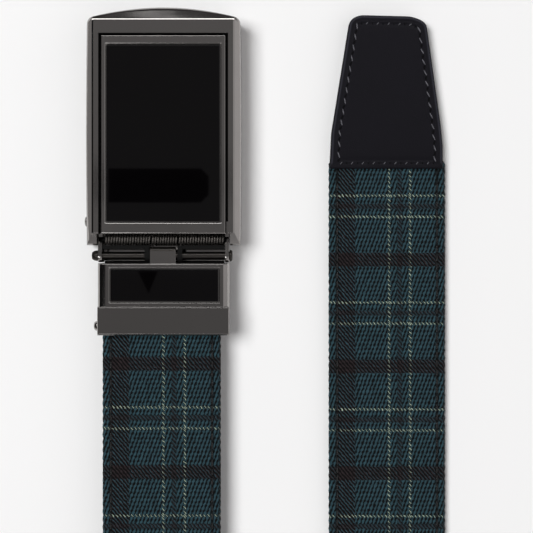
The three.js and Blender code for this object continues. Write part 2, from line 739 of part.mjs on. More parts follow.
function clampPin() {
  const seat = CLAMP_HALF + 0.15;
  const shaft = [[-seat, CLAMP_PIN_R], [CLAMP_HALF, CLAMP_PIN_R]];
  return turned([...pinHead(seat, 1.6), ...shaft], CLAMP_PIN_Y, CLAMP_PIN_Z);
}

// The belt

const belt = new THREE.Group();

function add(name, geometry, look) {
  geometry.computeVertexNormals();
  const mesh = new THREE.Mesh(geometry, new THREE.MeshStandardMaterial(look));
  mesh.name = name;
  belt.add(mesh);
}

add("strap", strap(), CANVAS);
add("leather_tip", leatherTip(), LEATHER);
add("ratchet_rack", ratchetRack(), PLASTIC);
add("clamp_body", clampBody(), METAL);
add("clamp_panel", clampPanel(), GLOSS_BLACK);
add("clamp_flap", clampFlap(), METAL);
add("clamp_pin", clampPin(), METAL);
add("housing", housing(), METAL);
add("hinge_pin", hingePin(), METAL);
add("spring_axle", rod(-WALL_OUTER, WALL_OUTER, AXLE_R, SPRING_Y, SPRING_Z, 20), METAL);
for (const [name, x0, x1] of SPRING_STRETCHES) add(name, springTube(x0, x1), METAL);
add("buckle_frame", buckleFrame(), METAL);
add("face_plate", facePlate(), METAL);
add("face_panel", facePanel(), GLOSS_BLACK);
add("frame_pin", framePin(), METAL);
add("pawl", pawl(), METAL);

const footprint = new THREE.Box3().setFromObject(belt, true);
const middle = footprint.getCenter(new THREE.Vector3());
belt.position.set(-middle.x, -middle.y, -footprint.min.z);

export default belt;
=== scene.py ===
"""A tartan canvas belt with a leather tip and a ratchet buckle, laid out on a pale surface."""

import math

import bmesh
import bpy
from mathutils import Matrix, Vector


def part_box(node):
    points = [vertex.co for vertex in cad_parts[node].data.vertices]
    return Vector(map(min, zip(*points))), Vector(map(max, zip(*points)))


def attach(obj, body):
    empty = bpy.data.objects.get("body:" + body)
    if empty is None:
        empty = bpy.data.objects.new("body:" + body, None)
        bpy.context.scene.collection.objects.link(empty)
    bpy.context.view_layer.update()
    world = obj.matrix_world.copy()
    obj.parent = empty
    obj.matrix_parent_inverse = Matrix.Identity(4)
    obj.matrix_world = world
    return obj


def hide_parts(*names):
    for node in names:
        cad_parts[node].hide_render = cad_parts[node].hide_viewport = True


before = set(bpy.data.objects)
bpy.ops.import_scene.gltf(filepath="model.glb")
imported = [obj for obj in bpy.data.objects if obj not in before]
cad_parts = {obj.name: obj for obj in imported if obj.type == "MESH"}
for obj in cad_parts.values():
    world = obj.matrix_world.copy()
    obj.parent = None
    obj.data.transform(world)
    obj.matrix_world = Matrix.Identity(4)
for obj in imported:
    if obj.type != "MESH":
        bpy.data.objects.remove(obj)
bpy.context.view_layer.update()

bl_info = {
    "name": "Canvas Belt",
    "version": (1, 0, 0),
    "blender": (4, 5, 0),
    "location": "View3D > Sidebar > Belt",
    "description": "Builds a tartan canvas belt with its leather tip and ratchet buckle",
    "category": "Add Mesh",
}

MM = 0.001

# Places in the plan of the layout, in millimetres: 0 is half way between the two ends.
TIP_LOW_Y = 32.1
TIP_X = 39.65
TIP_HALF_LEFT = 18.9
TIP_TOP_Y = 82.5
# From that plan to the frame, found from the corner of the leather tip
TIP_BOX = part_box("leather_tip")
SHIFT = Vector(
    (
        TIP_BOX[0].x - (TIP_X - TIP_HALF_LEFT) * MM,
        TIP_BOX[0].y - TIP_LOW_Y * MM,
        0,
    )
)


def linear(text):
    """An sRGB hex colour as linear red, green, blue and alpha."""
    shares = [int(text[i : i + 2], 16) / 255 for i in (1, 3, 5)]
    curve = [c / 12.92 if c <= 0.04045 else ((c + 0.055) / 1.055) ** 2.4 for c in shares]
    return (*curve, 1.0)


def colour_property(name, description, default):
    """A colour that a user can change, shown as sRGB and kept linear."""
    return bpy.props.FloatVectorProperty(
        name=name,
        description=description,
        subtype="COLOR",
        size=4,
        min=0,
        max=1,
        default=linear(default),
    )


def length_property(name, description, default):
    """A length in metres that a user can change; the default is given in millimetres."""
    return bpy.props.FloatProperty(
        name=name,
        description=description,
        subtype="DISTANCE",
        unit="LENGTH",
        precision=5,
        default=default * MM,
    )


class StrapSettings(bpy.types.PropertyGroup):
    width: length_property("Width", "Width of the canvas strap", 38)
    thick: length_property("Thickness", "Thickness of the canvas strap", 2.4)
    scallop: length_property("Scallop", "How far the woven edge waves in and out", 0.26)
    scallop_pitch: length_property("Scallop pitch", "Length of one wave of the edge", 5.1)
    groove: length_property("Stitch line", "Distance of the edge stitching from the middle", 16.4)
    stitch_pitch: length_property("Edge stitch pitch", "Length of one edge stitch and its gap", 2.9)
    teal: colour_property("Ground", "Thread colour of the tartan's ground", "#1a3037")
    dark: colour_property("Dark bands", "Thread colour of the dark bands", "#171012")
    pale: colour_property("Pale lines", "Thread colour of the pale lines", "#737f72")


class LeatherSettings(bpy.types.PropertyGroup):
    thick: length_property("Thickness", "Thickness of the two plies with the strap between", 5)
    seam: length_property("Seam inset", "Distance of the stitching from the edge", 2.7)
    stitch_pitch: length_property("Stitch pitch", "Length of one stitch and its gap", 3.55)
    stitch_length: length_property("Stitch length", "Length of one stitch", 2.3)
    body: colour_property("Leather", "Colour of the smooth leather", "#0b0a10")
    edge: colour_property("Edge", "Colour of the pressed and painted edge", "#28282f")
    thread: colour_property("Thread", "Colour of the waxed thread", "#606067")


class BuckleSettings(bpy.types.PropertyGroup):
    edge_width: length_property("Edge rounding", "Rounding of the polished edges", 0.2)
    plating: colour_property("Plating", "Colour of the black nickel plating", "#a3a09e")
    enamel: colour_property("Enamel", "Colour of the glossy inlays", "#050405")


class SpringSettings(bpy.types.PropertyGroup):
    wire: length_property("Wire", "Diameter of the spring wire", 0.68)
    pitch: length_property("Pitch", "Distance from one coil to the next", 0.86)
    outer: length_property("Outside", "Outside diameter of the coils", 3.7)


class StageSettings(bpy.types.PropertyGroup):
    distance: length_property("Camera height", "Height of the camera above the surface", 430)
    pixel: length_property("Pixel size", "Width of one picture pixel at the strap's face", 0.3293)
    face_height: length_property("Scale height", "Height at which the pixel size holds", 3)
    key_power: bpy.props.FloatProperty(
        name="Key light",
        description="Power of the soft light on the left",
        subtype="POWER",
        default=96,
    )
    floor: colour_property("Surface", "Colour of the pale surface", "#f2f2f2")


# Making meshes and objects


def new_object(name, mesh):
    piece = bpy.data.objects.new(name, mesh)
    bpy.context.scene.collection.objects.link(piece)
    return piece


def mesh_piece(name, points, faces, material, smooth=35):
    """A mesh object from points in metres; edges sharper than the angle stay crisp."""
    mesh = bpy.data.meshes.new(name)
    mesh.from_pydata(points, [], faces)
    mesh.validate()
    finish_shading(mesh, smooth)
    mesh.materials.append(material)
    return new_object(name, mesh)


def lofted_faces(rows, n):
    """The faces of a closed tube of rows of n points each, with its two ends."""
    faces = []
    for i in range(rows - 1):
        for j in range(n):
            k = (j + 1) % n
            faces.append((i * n + j, i * n + k, (i + 1) * n + k, (i + 1) * n + j))
    faces.append(tuple(reversed(range(n))))
    faces.append(tuple((rows - 1) * n + j for j in range(n)))
    return faces


def finish_shading(mesh, smooth):
    """Shades a mesh smoothly, but for edges sharper than an angle in degrees."""
    mesh.polygons.foreach_set("use_smooth", [True] * len(mesh.polygons))
    mesh.set_sharp_from_angle(angle=math.radians(smooth))
    mesh.update()


def applied(piece):
    """Turns a piece with modifiers into a plain mesh and returns it."""
    graph = bpy.context.evaluated_depsgraph_get()
    graph.update()
    made = bpy.data.meshes.new_from_object(piece.evaluated_get(graph))
    piece.modifiers.clear()
    old = piece.data
    piece.data = made
    bpy.data.meshes.remove(old)
    made.name = piece.name
    return piece


# Edges sharper than this many degrees are rounded; the frame's narrow facet needs fewer.
EDGE_ANGLE = 24
FRAME_ANGLE = 14
# Corners closer than this many metres are one, and flatter edges than this many degrees go.
SAME_PLACE = 2e-6
FLAT_ANGLE = 0.4
# Metal is shaded smoothly over edges flatter than this many degrees.
METAL_SMOOTH = 60
# Rounding of the moulded track's and of the inlays' edges, in millimetres
TRACK_EDGE = 0.06
INLAY_EDGE = 0.1


def rounded_copy(name, node_name, material, width, segments=3, angle=EDGE_ANGLE):
    """A copy of a frame node whose edges are rounded, the way polishing leaves them."""
    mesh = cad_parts[node_name].data.copy()
    clean = bmesh.new()
    clean.from_mesh(mesh)
    bmesh.ops.remove_doubles(clean, verts=clean.verts, dist=SAME_PLACE)
    bmesh.ops.dissolve_limit(
        clean,
        angle_limit=math.radians(FLAT_ANGLE),
        verts=clean.verts,
        edges=clean.edges,
        delimit={"NORMAL"},
    )
    clean.to_mesh(mesh)
    clean.free()
    mesh.materials.clear()
    mesh.materials.append(material)
    finish_shading(mesh, METAL_SMOOTH)
    piece = new_object(name, mesh)
    edges = piece.modifiers.new("edges", "BEVEL")
    edges.width = width
    edges.segments = segments
    edges.limit_method = "ANGLE"
    edges.angle_limit = math.radians(angle)
    edges.use_clamp_overlap = True
    # Large flat faces keep their own direction, so that they mirror like flat metal.
    flat = piece.modifiers.new("flat_faces", "WEIGHTED_NORMAL")
    flat.mode = "FACE_AREA_WITH_ANGLE"
    flat.weight = 100
    return applied(piece)


def paint_inside(piece, low, high, material):
    """Gives the faces whose middles lie in a box a second material."""
    piece.data.materials.append(material)
    for face in piece.data.polygons:
        if all(a < c < b for a, c, b in zip(low, face.center, high)):
            face.material_index = 1


def fit(piece, body, slot, *nodes):
    """Puts a finished piece on its body and hides the nodes that it stands for. Its slot is not used."""
    if nodes:
        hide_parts(*nodes)
    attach(piece, body)


# Materials


def output_of(source):
    """A node's first output in use, or the output itself where one is given."""
    if isinstance(source, bpy.types.Node):
        return next(socket for socket in source.outputs if socket.enabled)
    return source


def add_node(tree, kind, inputs=None, **settings):
    """Adds a node; inputs maps an input's name or number to a value, a node or an output."""
    new = tree.nodes.new(kind)
    for name, value in settings.items():
        setattr(new, name, value)
    for key, value in (inputs or {}).items():
        if isinstance(value, (bpy.types.Node, bpy.types.NodeSocket)):
            tree.links.new(output_of(value), new.inputs[key])
        else:
            new.inputs[key].default_value = value
    return new


def feed(node, **sources):
    """Joins nodes or outputs to a node's inputs, which are named with underscores for spaces."""
    for key, source in sources.items():
        node.id_data.links.new(output_of(source), node.inputs[key.replace("_", " ")])


def new_material(name, **values):
    """A material with one Principled shader, whose sockets take the values given."""
    material = bpy.data.materials.new(name)
    material.use_nodes = True
    shader = material.node_tree.nodes["Principled BSDF"]
    for key, value in values.items():
        shader.inputs[key.replace("_", " ")].default_value = value
    return material, material.node_tree, shader


def shaded(colour, share):
    """A colour with its light multiplied by a share."""
    return [c * share for c in colour[:3]] + [1.0]


def finish_by(shader, pattern, rough, tones=None, bump=None):
    """Lets one pattern set a finish: roughness from rough[0] to rough[1], the colours between
    two tones, and a bump of a strength and a height in millimetres."""
    tree = shader.id_data
    spread = {"Value": pattern, "To Min": rough[0], "To Max": rough[1]}
    feed(shader, Roughness=add_node(tree, "ShaderNodeMapRange", spread))
    if tones:
        ramp = add_node(tree, "ShaderNodeValToRGB", {"Fac": pattern})
        for element, tone in zip(ramp.color_ramp.elements, tones):
            element.color = linear(tone)
        feed(shader, Base_Color=ramp)
    if bump:
        relief = {"Height": pattern, "Strength": bump[0], "Distance": bump[1] * MM}
        feed(shader, Normal=add_node(tree, "ShaderNodeBump", relief))


def black_nickel():
    """Polished black nickel over zinc: a dark mirror, a little cloudy where it was buffed."""
    settings = bpy.context.scene.belt_buckle
    material, tree, shader = new_material("black_nickel", Metallic=1.0)
    place = add_node(tree, "ShaderNodeTexCoord").outputs["Object"]
    cloud = add_node(tree, "ShaderNodeTexNoise", {"Vector": place, "Scale": 140.0, "Detail": 3.0})
    haze = {"Value": cloud, "From Min": 0.3, "From Max": 0.7, "To Min": 0.07, "To Max": 0.12}
    tint = {"Factor": cloud, "A": settings.plating, "B": shaded(settings.plating, 0.9)}
    # Buffing lines, about 0.2 mm apart, too shallow to see except in a highlight.
    lines = add_node(tree, "ShaderNodeMapping", {"Vector": place, "Scale": (5000.0, 300.0, 300.0)})
    fine = add_node(tree, "ShaderNodeTexNoise", {"Vector": lines, "Scale": 1.0, "Detail": 2.0})
    relief = {"Height": fine, "Strength": 0.04, "Distance": 0.02 * MM}
    feed(
        shader,
        Base_Color=add_node(tree, "ShaderNodeMix", tint, data_type="RGBA"),
        Roughness=add_node(tree, "ShaderNodeMapRange", haze),
        Normal=add_node(tree, "ShaderNodeBump", relief),
    )
    return material


def painted_recess_shade():
    """Painted shade: matt and nearly black, for recesses, gaps and hinge parts that lie in shadow."""
    material, tree, shader = new_material("painted_recess_shade", Specular_IOR_Level=0.2)
    place = add_node(tree, "ShaderNodeTexCoord").outputs["Object"]
    # The grit of the plating is finer: it is drawn 0.4 mm across, as coarse as it needs to show.
    grit = add_node(tree, "ShaderNodeTexNoise", {"Vector": place, "Scale": 2600.0})
    finish_by(shader, grit, (0.7, 0.9), tones=("#050505", "#0b0b0b"))
    return material


def turned_steel():
    """A turned steel pin, blackened: satin, with rings from the lathe 0.1 mm apart."""
    material, tree, shader = new_material("turned_steel", Metallic=1.0)
    place = add_node(tree, "ShaderNodeTexCoord").outputs["Object"]
    rings = add_node(tree, "ShaderNodeMapping", {"Vector": place, "Scale": (10000.0, 400.0, 400.0)})
    fine = add_node(tree, "ShaderNodeTexNoise", {"Vector": rings, "Scale": 1.0})
    finish_by(shader, fine, (0.3, 0.4), tones=("#353331", "#403d3b"))
    return material


def spring_wire():
    """Plated spring steel: duller than the polished parts, with patches about 1 mm across."""
    material, tree, shader = new_material("spring_wire", Metallic=1.0)
    place = add_node(tree, "ShaderNodeTexCoord").outputs["Object"]
    cloud = add_node(tree, "ShaderNodeTexNoise", {"Vector": place, "Scale": 900.0, "Detail": 2.0})
    finish_by(shader, cloud, (0.5, 0.6), tones=("#5f5c59", "#716d69"))
    return material


def black_enamel():
    """Glossy black enamel, poured and flat: almost a mirror, over a deep black."""
    settings = bpy.context.scene.belt_buckle
    material, tree, shader = new_material("black_enamel", Specular_IOR_Level=0.3)
    place = add_node(tree, "ShaderNodeTexCoord").outputs["Object"]
    slow = add_node(tree, "ShaderNodeTexNoise", {"Vector": place, "Scale": 60.0, "Detail": 1.0})
    deep = {"Factor": slow, "A": settings.enamel, "B": shaded(settings.enamel, 0.7)}
    feed(shader, Base_Color=add_node(tree, "ShaderNodeMix", deep, data_type="RGBA"))
    finish_by(shader, slow, (0.015, 0.035), bump=(0.05, 0.05))
    return material


def smooth_leather():
    """Coated black leather: a fine pressed grain, and a lighter painted edge, whose narrow band also
    serves as a painted highlight on the rounded edge.
    """
    settings = bpy.context.scene.belt_leather
    material, tree, shader = new_material("smooth_leather", Specular_IOR_Level=0.12)
    place = add_node(tree, "ShaderNodeTexCoord").outputs["Object"]
    inset = add_node(tree, "ShaderNodeAttribute", attribute_name="inset").outputs["Fac"]
    # The edge paint covers a band from 0.2 to 1.1 mm inside the outline, kept narrow so that it also
    # stands for a painted highlight along the rounded edge.
    rise = add_node(tree, "ShaderNodeMapRange", {"Value": inset, "From Min": 0.2, "From Max": 0.5})
    fade = {"Value": inset, "From Min": 0.6, "From Max": 1.1, "To Min": 1.0, "To Max": 0.0}
    fall = add_node(tree, "ShaderNodeMapRange", fade, interpolation_type="SMOOTHSTEP")
    band = add_node(tree, "ShaderNodeMath", {0: rise, 1: fall}, operation="MULTIPLY")
    tone = add_node(tree, "ShaderNodeTexNoise", {"Vector": place, "Scale": 90.0, "Detail": 4.0})
    tones = {"Factor": tone, "A": shaded(settings.body, 0.8), "B": shaded(settings.body, 1.25)}
    body = add_node(tree, "ShaderNodeMix", tones, data_type="RGBA")
    painted = {"Factor": band, "A": body, "B": settings.edge}
    # Grain cells about 0.5 mm across, with finer pores in them.
    cells = add_node(tree, "ShaderNodeTexVoronoi", {"Vector": place, "Scale": 2000.0})
    pores = add_node(tree, "ShaderNodeTexNoise", {"Vector": place, "Scale": 3200.0, "Detail": 3.0})
    height = add_node(tree, "ShaderNodeMath", {0: cells, 1: pores}, operation="ADD")
    relief = {"Height": height, "Strength": 0.35, "Distance": 0.05 * MM}
    feed(
        shader,
        Base_Color=add_node(tree, "ShaderNodeMix", painted, data_type="RGBA"),
        Normal=add_node(tree, "ShaderNodeBump", relief),
    )
    finish_by(shader, tone, (0.46, 0.6))
    return material


def waxed_thread(name, colour):
    """Waxed sewing thread: two plies whose twist shows as slanting ridges 0.4 mm apart, with painted
    shade in the hollows between them.
    """
    material, tree, shader = new_material(name, Sheen_Weight=0.2)
    place = add_node(tree, "ShaderNodeTexCoord").outputs["Object"]
    twist = {"Vector": place, "Scale": 700.0, "Distortion": 1.0}
    wave = add_node(tree, "ShaderNodeTexWave", twist, bands_direction="DIAGONAL").outputs["Fac"]
    # Painted shade: the colour drops to 0.55 in the hollows between the plies.
    ply_shade = {"Factor": wave, "A": shaded(colour, 0.55), "B": colour}
    feed(shader, Base_Color=add_node(tree, "ShaderNodeMix", ply_shade, data_type="RGBA"))
    finish_by(shader, wave, (0.7, 0.5), bump=(0.4, 0.08))
    return material


def painted_hole_shade():
    """Painted shade for a needle hole: black beads on the leather where the funnel's shade falls, with a
    trace of grain.
    """
    material, tree, shader = new_material("painted_hole_shade", Specular_IOR_Level=0.1)
    place = add_node(tree, "ShaderNodeTexCoord").outputs["Object"]
    grain = add_node(tree, "ShaderNodeTexNoise", {"Vector": place, "Scale": 2500.0})
    finish_by(shader, grain, (0.8, 1.0), tones=("#060607", "#0f0f11"))
    return material


def moulded_nylon():
    """Moulded black nylon: a fine spark-eroded texture with a low shine."""
    material, tree, shader = new_material("moulded_nylon", IOR=1.53)
    place = add_node(tree, "ShaderNodeTexCoord").outputs["Object"]
    grit = add_node(tree, "ShaderNodeTexNoise", {"Vector": place, "Scale": 4000.0, "Detail": 2.0})
    finish_by(shader, grit, (0.42, 0.6), tones=("#151518", "#1f1f22"), bump=(0.3, 0.04))
    return material


# The tartan: a sett that mirrors about its middle, in millimetres. The thin dark band lies on
# that middle, the pale line beside it, and the wide dark band begins at its own distance, which
# isn't quite the same along the weft.
SETT = 35.1
SETT_PALE = 3.45
SETT_PALE_HALF = 0.36
SETT_THIN_HALF = 0.85
SETT_WIDE_FROM = 14.6
SETT_WIDE_FROM_WEFT = 15.3
# How far to each side a change of thread blurs
PALE_BLUR = 0.08
THIN_BLUR = 0.12
WIDE_BLUR = 0.15
# Four threads of the twill; one thread is too fine to show at the picture's size.
RIB_ACROSS = 1.23
RIB_ALONG = 1.47


def sett_colour(tree, position, settings, wide_from):
    """The colour of the thread at a position in the sett, and how far it is dark or pale."""
    fold = add_node(tree, "ShaderNodeMath", {0: position, 1: SETT / 2}, operation="PINGPONG")
    off_line = add_node(tree, "ShaderNodeMath", {0: fold, 1: SETT_PALE}, operation="SUBTRACT")
    apart = add_node(tree, "ShaderNodeMath", {0: off_line}, operation="ABSOLUTE")
    found = []
    for value, edge, blur, inside, outside in (
        (fold, SETT_THIN_HALF, THIN_BLUR, 0.8, 0.0),
        (fold, wide_from, WIDE_BLUR, 0.0, 1.0),
        (apart, SETT_PALE_HALF, PALE_BLUR, 1.0, 0.0),
    ):
        inputs = {"Value": value, "From Min": edge - blur, "From Max": edge + blur}
        inputs.update({"To Min": inside, "To Max": outside})
        found.append(add_node(tree, "ShaderNodeMapRange", inputs))
    thin, wide, line = found
    band = add_node(tree, "ShaderNodeMath", {0: thin, 1: wide}, operation="MAXIMUM")
    dark = {"Factor": band, "A": settings.teal, "B": settings.dark}
    ground = add_node(tree, "ShaderNodeMix", dark, data_type="RGBA")
    pale = {"Factor": line, "A": ground, "B": settings.pale}
    return add_node(tree, "ShaderNodeMix", pale, data_type="RGBA"), band, line


def ribs(tree, across, along, per_across, per_along, share):
    """Slanting strokes from 0 to 1: waves across the cloth, broken up along it by a share."""
    slant = add_node(tree, "ShaderNodeMath", {0: across, 1: math.tau * per_across}, operation="MULTIPLY")
    turns = {0: along, 1: math.tau * per_along, 2: slant}
    phase = add_node(tree, "ShaderNodeMath", turns, operation="MULTIPLY_ADD")
    wave = add_node(tree, "ShaderNodeMath", {0: phase}, operation="COSINE")
    row = add_node(tree, "ShaderNodeMath", {0: along, 1: math.tau / RIB_ALONG}, operation="MULTIPLY")
    rows = add_node(tree, "ShaderNodeMath", {0: row}, operation="COSINE")
    both = add_node(tree, "ShaderNodeMath", {0: rows, 1: share, 2: wave}, operation="MULTIPLY_ADD")
    inputs = {"Value": both, "From Min": -0.85, "From Max": 0.85}
    return add_node(tree, "ShaderNodeMapRange", inputs, interpolation_type="SMOOTHSTEP")


def tartan_canvas():
    """Woven polyester canvas in a 2/2 twill: matt threads, a tartan sett, painted shade in the deep gaps
    and painted highlight on the crests.
    """
    settings = bpy.context.scene.belt_strap
    material, tree, shader = new_material("tartan_canvas", Specular_IOR_Level=0.3)
    sett = add_node(tree, "ShaderNodeUVMap", uv_map="sett").outputs["UV"]
    place = add_node(tree, "ShaderNodeUVMap", uv_map="place").outputs["UV"]
    # The threads wander by about 0.1 mm, which keeps the ribs from looking printed.
    wander = add_node(tree, "ShaderNodeTexNoise", {"Vector": sett, "Scale": 0.9, "Detail": 2.0})
    shift = {0: wander.outputs["Color"], 1: (0.5, 0.5, 0.5)}
    centred = add_node(tree, "ShaderNodeVectorMath", shift, operation="SUBTRACT")
    added = {0: centred, 1: (0.8, 0.8, 0.0), 2: sett}
    moved = add_node(tree, "ShaderNodeVectorMath", added, operation="MULTIPLY_ADD")
    parts = add_node(tree, "ShaderNodeSeparateXYZ", {0: moved})
    across = parts.outputs["X"]
    along = parts.outputs["Y"]
    warp, warp_band, warp_line = sett_colour(tree, across, settings, SETT_WIDE_FROM)
    weft, weft_band, weft_line = sett_colour(tree, along, settings, SETT_WIDE_FROM_WEFT)
    twill = ribs(tree, across, along, 1 / RIB_ACROSS, 1 / RIB_ALONG, 0.0)
    # A dark weft covers more of the warp than a teal one.
    covers = add_node(tree, "ShaderNodeMapRange", {"Value": weft_band, "To Min": 0.0, "To Max": -0.35})
    raised = add_node(tree, "ShaderNodeMath", {0: twill, 1: covers}, operation="ADD")
    on_top = add_node(tree, "ShaderNodeMapRange", {"Value": raised, "From Min": 0.4, "From Max": 0.68})
    thread = add_node(tree, "ShaderNodeMix", {"Factor": on_top, "A": weft, "B": warp}, data_type="RGBA")
    # Strokes lean one way on the ground and the other way where dark or pale threads cross it.
    lean_right = ribs(tree, across, along, 1 / RIB_ACROSS, -0.42 / RIB_ALONG, 0.5)
    lean_left = ribs(tree, across, along, 2 / RIB_ACROSS, 2 / RIB_ALONG, 0.2)
    bands = add_node(tree, "ShaderNodeMath", {0: warp_band, 1: weft_band}, operation="MAXIMUM")
    lines = add_node(tree, "ShaderNodeMath", {0: warp_line, 1: weft_line}, operation="MAXIMUM")
    other = add_node(tree, "ShaderNodeMath", {0: bands, 1: lines}, operation="MAXIMUM")
    # In the dark bands the crests lie half on the warp and half on the weft.
    quarter = add_node(tree, "ShaderNodeMath", {0: along, 1: RIB_ALONG / 4}, operation="ADD")
    lean_band = ribs(tree, across, quarter, 1 / RIB_ACROSS, 1 / RIB_ALONG, 0.3)
    narrow = add_node(tree, "ShaderNodeMath", {0: lean_band, 1: lean_band}, operation="MULTIPLY")
    crossed = add_node(tree, "ShaderNodeMix", {"Factor": bands, "A": lean_left, "B": narrow})
    stroke = add_node(tree, "ShaderNodeMix", {"Factor": other, "A": lean_right, "B": crossed})
    # Each thread takes the dye a little differently.
    dye = add_node(tree, "ShaderNodeTexNoise", {"Vector": sett, "Scale": 0.55, "Detail": 5.0})
    taken = {"Value": dye, "From Min": 0.3, "From Max": 0.7, "To Min": 0.72, "To Max": 1.25}
    uneven = add_node(tree, "ShaderNodeMapRange", taken)
    # The dark threads' ribs are narrow. The strokes scale each thread's colour from near black in the
    # gaps, a painted shade, to over 1.6 times on the crests, a painted highlight.
    crest_highlight = add_node(tree, "ShaderNodeMapRange", {"Value": bands, "To Min": 1.6, "To Max": 1.7})
    depth = add_node(tree, "ShaderNodeMapRange", {"Value": stroke, "To Min": 0.015, "To Max": crest_highlight})
    # The stitched line near each edge sits in a groove, darkened there by painted shade.
    true_across = add_node(tree, "ShaderNodeSeparateXYZ", {0: place})
    side = add_node(tree, "ShaderNodeMath", {0: true_across}, operation="ABSOLUTE")
    off = add_node(tree, "ShaderNodeMath", {0: side, 1: settings.groove / MM}, operation="SUBTRACT")
    gap = add_node(tree, "ShaderNodeMath", {0: off}, operation="ABSOLUTE")
    walls = {"Value": gap, "From Min": 0.2, "From Max": 0.7, "To Min": 0.1, "To Max": 1.0}
    groove = add_node(tree, "ShaderNodeMapRange", walls)
    shade = add_node(tree, "ShaderNodeMath", {0: depth, 1: uneven}, operation="MULTIPLY")
    shade = add_node(tree, "ShaderNodeMath", {0: shade, 1: groove}, operation="MULTIPLY")
    final = add_node(tree, "ShaderNodeVectorMath", {0: thread, "Scale": shade}, operation="SCALE")
    feed(shader, Base_Color=final)
    finish_by(shader, stroke, (0.95, 0.75), bump=(0.6, 0.22))
    return material


# Geometry Nodes


def node_group(name, sockets):
    """A geometry node tree with named number inputs; sockets are rows of name, kind, default."""
    tree = bpy.data.node_groups.new(name, "GeometryNodeTree")
    tree.interface.new_socket("Geometry", in_out="INPUT", socket_type="NodeSocketGeometry")
    tree.interface.new_socket("Geometry", in_out="OUTPUT", socket_type="NodeSocketGeometry")
    for title, kind, default in sockets:
        socket = tree.interface.new_socket(title, in_out="INPUT", socket_type=kind)
        if default is not None:
            socket.default_value = default
    return tree, add_node(tree, "NodeGroupInput"), add_node(tree, "NodeGroupOutput")


def run_nodes(piece, tree, values):
    """Adds a node tree as a modifier, sets its inputs by identifier and applies it."""
    modifier = piece.modifiers.new("nodes", "NODES")
    modifier.node_group = tree
    for item in tree.interface.items_tree:
        if item.in_out == "INPUT" and item.name in values:
            modifier[item.identifier] = values[item.name]
    return applied(piece)


def finish_tree(tree, result, made, material):
    """Ends a geometry node tree: its instances made real, with the material set."""
    real = add_node(tree, "GeometryNodeRealizeInstances", {"Geometry": made})
    dressed = add_node(tree, "GeometryNodeSetMaterial", {"Geometry": real, "Material": material})
    feed(result, Geometry=dressed)


def beads_tree():
    """Sets a rounded bead, stretched into a stitch or a hole, on every point of a mesh."""
    tree, given, result = node_group(
        "beads_on_points",
        [
            ("Length", "NodeSocketFloat", 0.002),
            ("Width", "NodeSocketFloat", 0.0007),
            ("Height", "NodeSocketFloat", 0.0005),
            ("Slant", "NodeSocketFloat", 0.0),
            ("Material", "NodeSocketMaterial", None),
        ],
    )
    points, length, width, height, slant, material = list(given.outputs)[:6]
    size = add_node(tree, "ShaderNodeCombineXYZ", {"X": length, "Y": width, "Z": height})
    turn = add_node(tree, "ShaderNodeCombineXYZ", {"Z": slant})
    bead = add_node(tree, "GeometryNodeMeshUVSphere", {"Segments": 8, "Rings": 6, "Radius": 0.5})
    stretched = add_node(tree, "GeometryNodeTransform", {"Geometry": bead, "Scale": size})
    slanted = add_node(tree, "GeometryNodeTransform", {"Geometry": stretched, "Rotation": turn})
    out, run, grown = (
        add_node(tree, "GeometryNodeInputNamedAttribute", {"Name": title}, data_type="FLOAT_VECTOR")
        for title in ("out", "run", "size")
    )
    axes = {"primary_axis": "Z", "secondary_axis": "X"}
    aim = add_node(tree, "FunctionNodeAxesToRotation", {0: out, 1: run}, **axes)
    inputs = {"Points": points, "Instance": slanted, "Rotation": aim, "Scale": grown}
    placed = add_node(tree, "GeometryNodeInstanceOnPoints", inputs)
    finish_tree(tree, result, placed, material)
    return tree


def beads(name, rows, values):
    """One mesh of beads from rows of place, off the face, along the seam, and scale."""
    mesh = bpy.data.meshes.new(name)
    mesh.from_pydata([row[0] for row in rows], [], [])
    for title, column in (("out", 1), ("run", 2), ("size", 3)):
        attribute = mesh.attributes.new(title, "FLOAT_VECTOR", "POINT")
        attribute.data.foreach_set("vector", [c for row in rows for c in row[column]])
    tree = bpy.data.node_groups.get("beads_on_points") or beads_tree()
    piece = run_nodes(new_object(name, mesh), tree, values)
    piece.data.polygons.foreach_set("use_smooth", [True] * len(piece.data.polygons))
    return piece


def coil_tree():
    """A close-wound coil: a helix about Z with a round wire swept along it."""
    tree, given, result = node_group(
        "wound_coil",
        [
            ("Turns", "NodeSocketFloat", 10.0),
            ("Mean Radius", "NodeSocketFloat", 0.0015),
            ("Length", "NodeSocketFloat", 0.01),
            ("Wire Radius", "NodeSocketFloat", 0.0004),
            ("Material", "NodeSocketMaterial", None),
        ],
    )
    _, turns, radius, length, wire_radius, material = list(given.outputs)[:6]
    helix = {"Resolution": 22, "Rotations": turns, "Height": length}
    helix.update({"Start Radius": radius, "End Radius": radius})
    coil = add_node(tree, "GeometryNodeCurveSpiral", helix)
    wire = add_node(tree, "GeometryNodeCurvePrimitiveCircle", {"Resolution": 10, "Radius": wire_radius})
    sweep = {"Curve": coil, "Profile Curve": wire, "Fill Caps": True}
    finish_tree(tree, result, add_node(tree, "GeometryNodeCurveToMesh", sweep), material)
    return tree


# The strap's route in the plan of the layout, in millimetres. Each end runs straight and flat
# to the end of its leg; the strap's middle lies at one height in the clamp and at another in
# the leather.
STRAP_X = -34.0
STRAP_START_Y = -2.0
STRAP_END_Y = 60.0
STRAP_HALF = 19.0
LEG_END_Y = -105.0
CLAMP_STRAP_Z = 9.0
TIP_STRAP_Z = 2.6
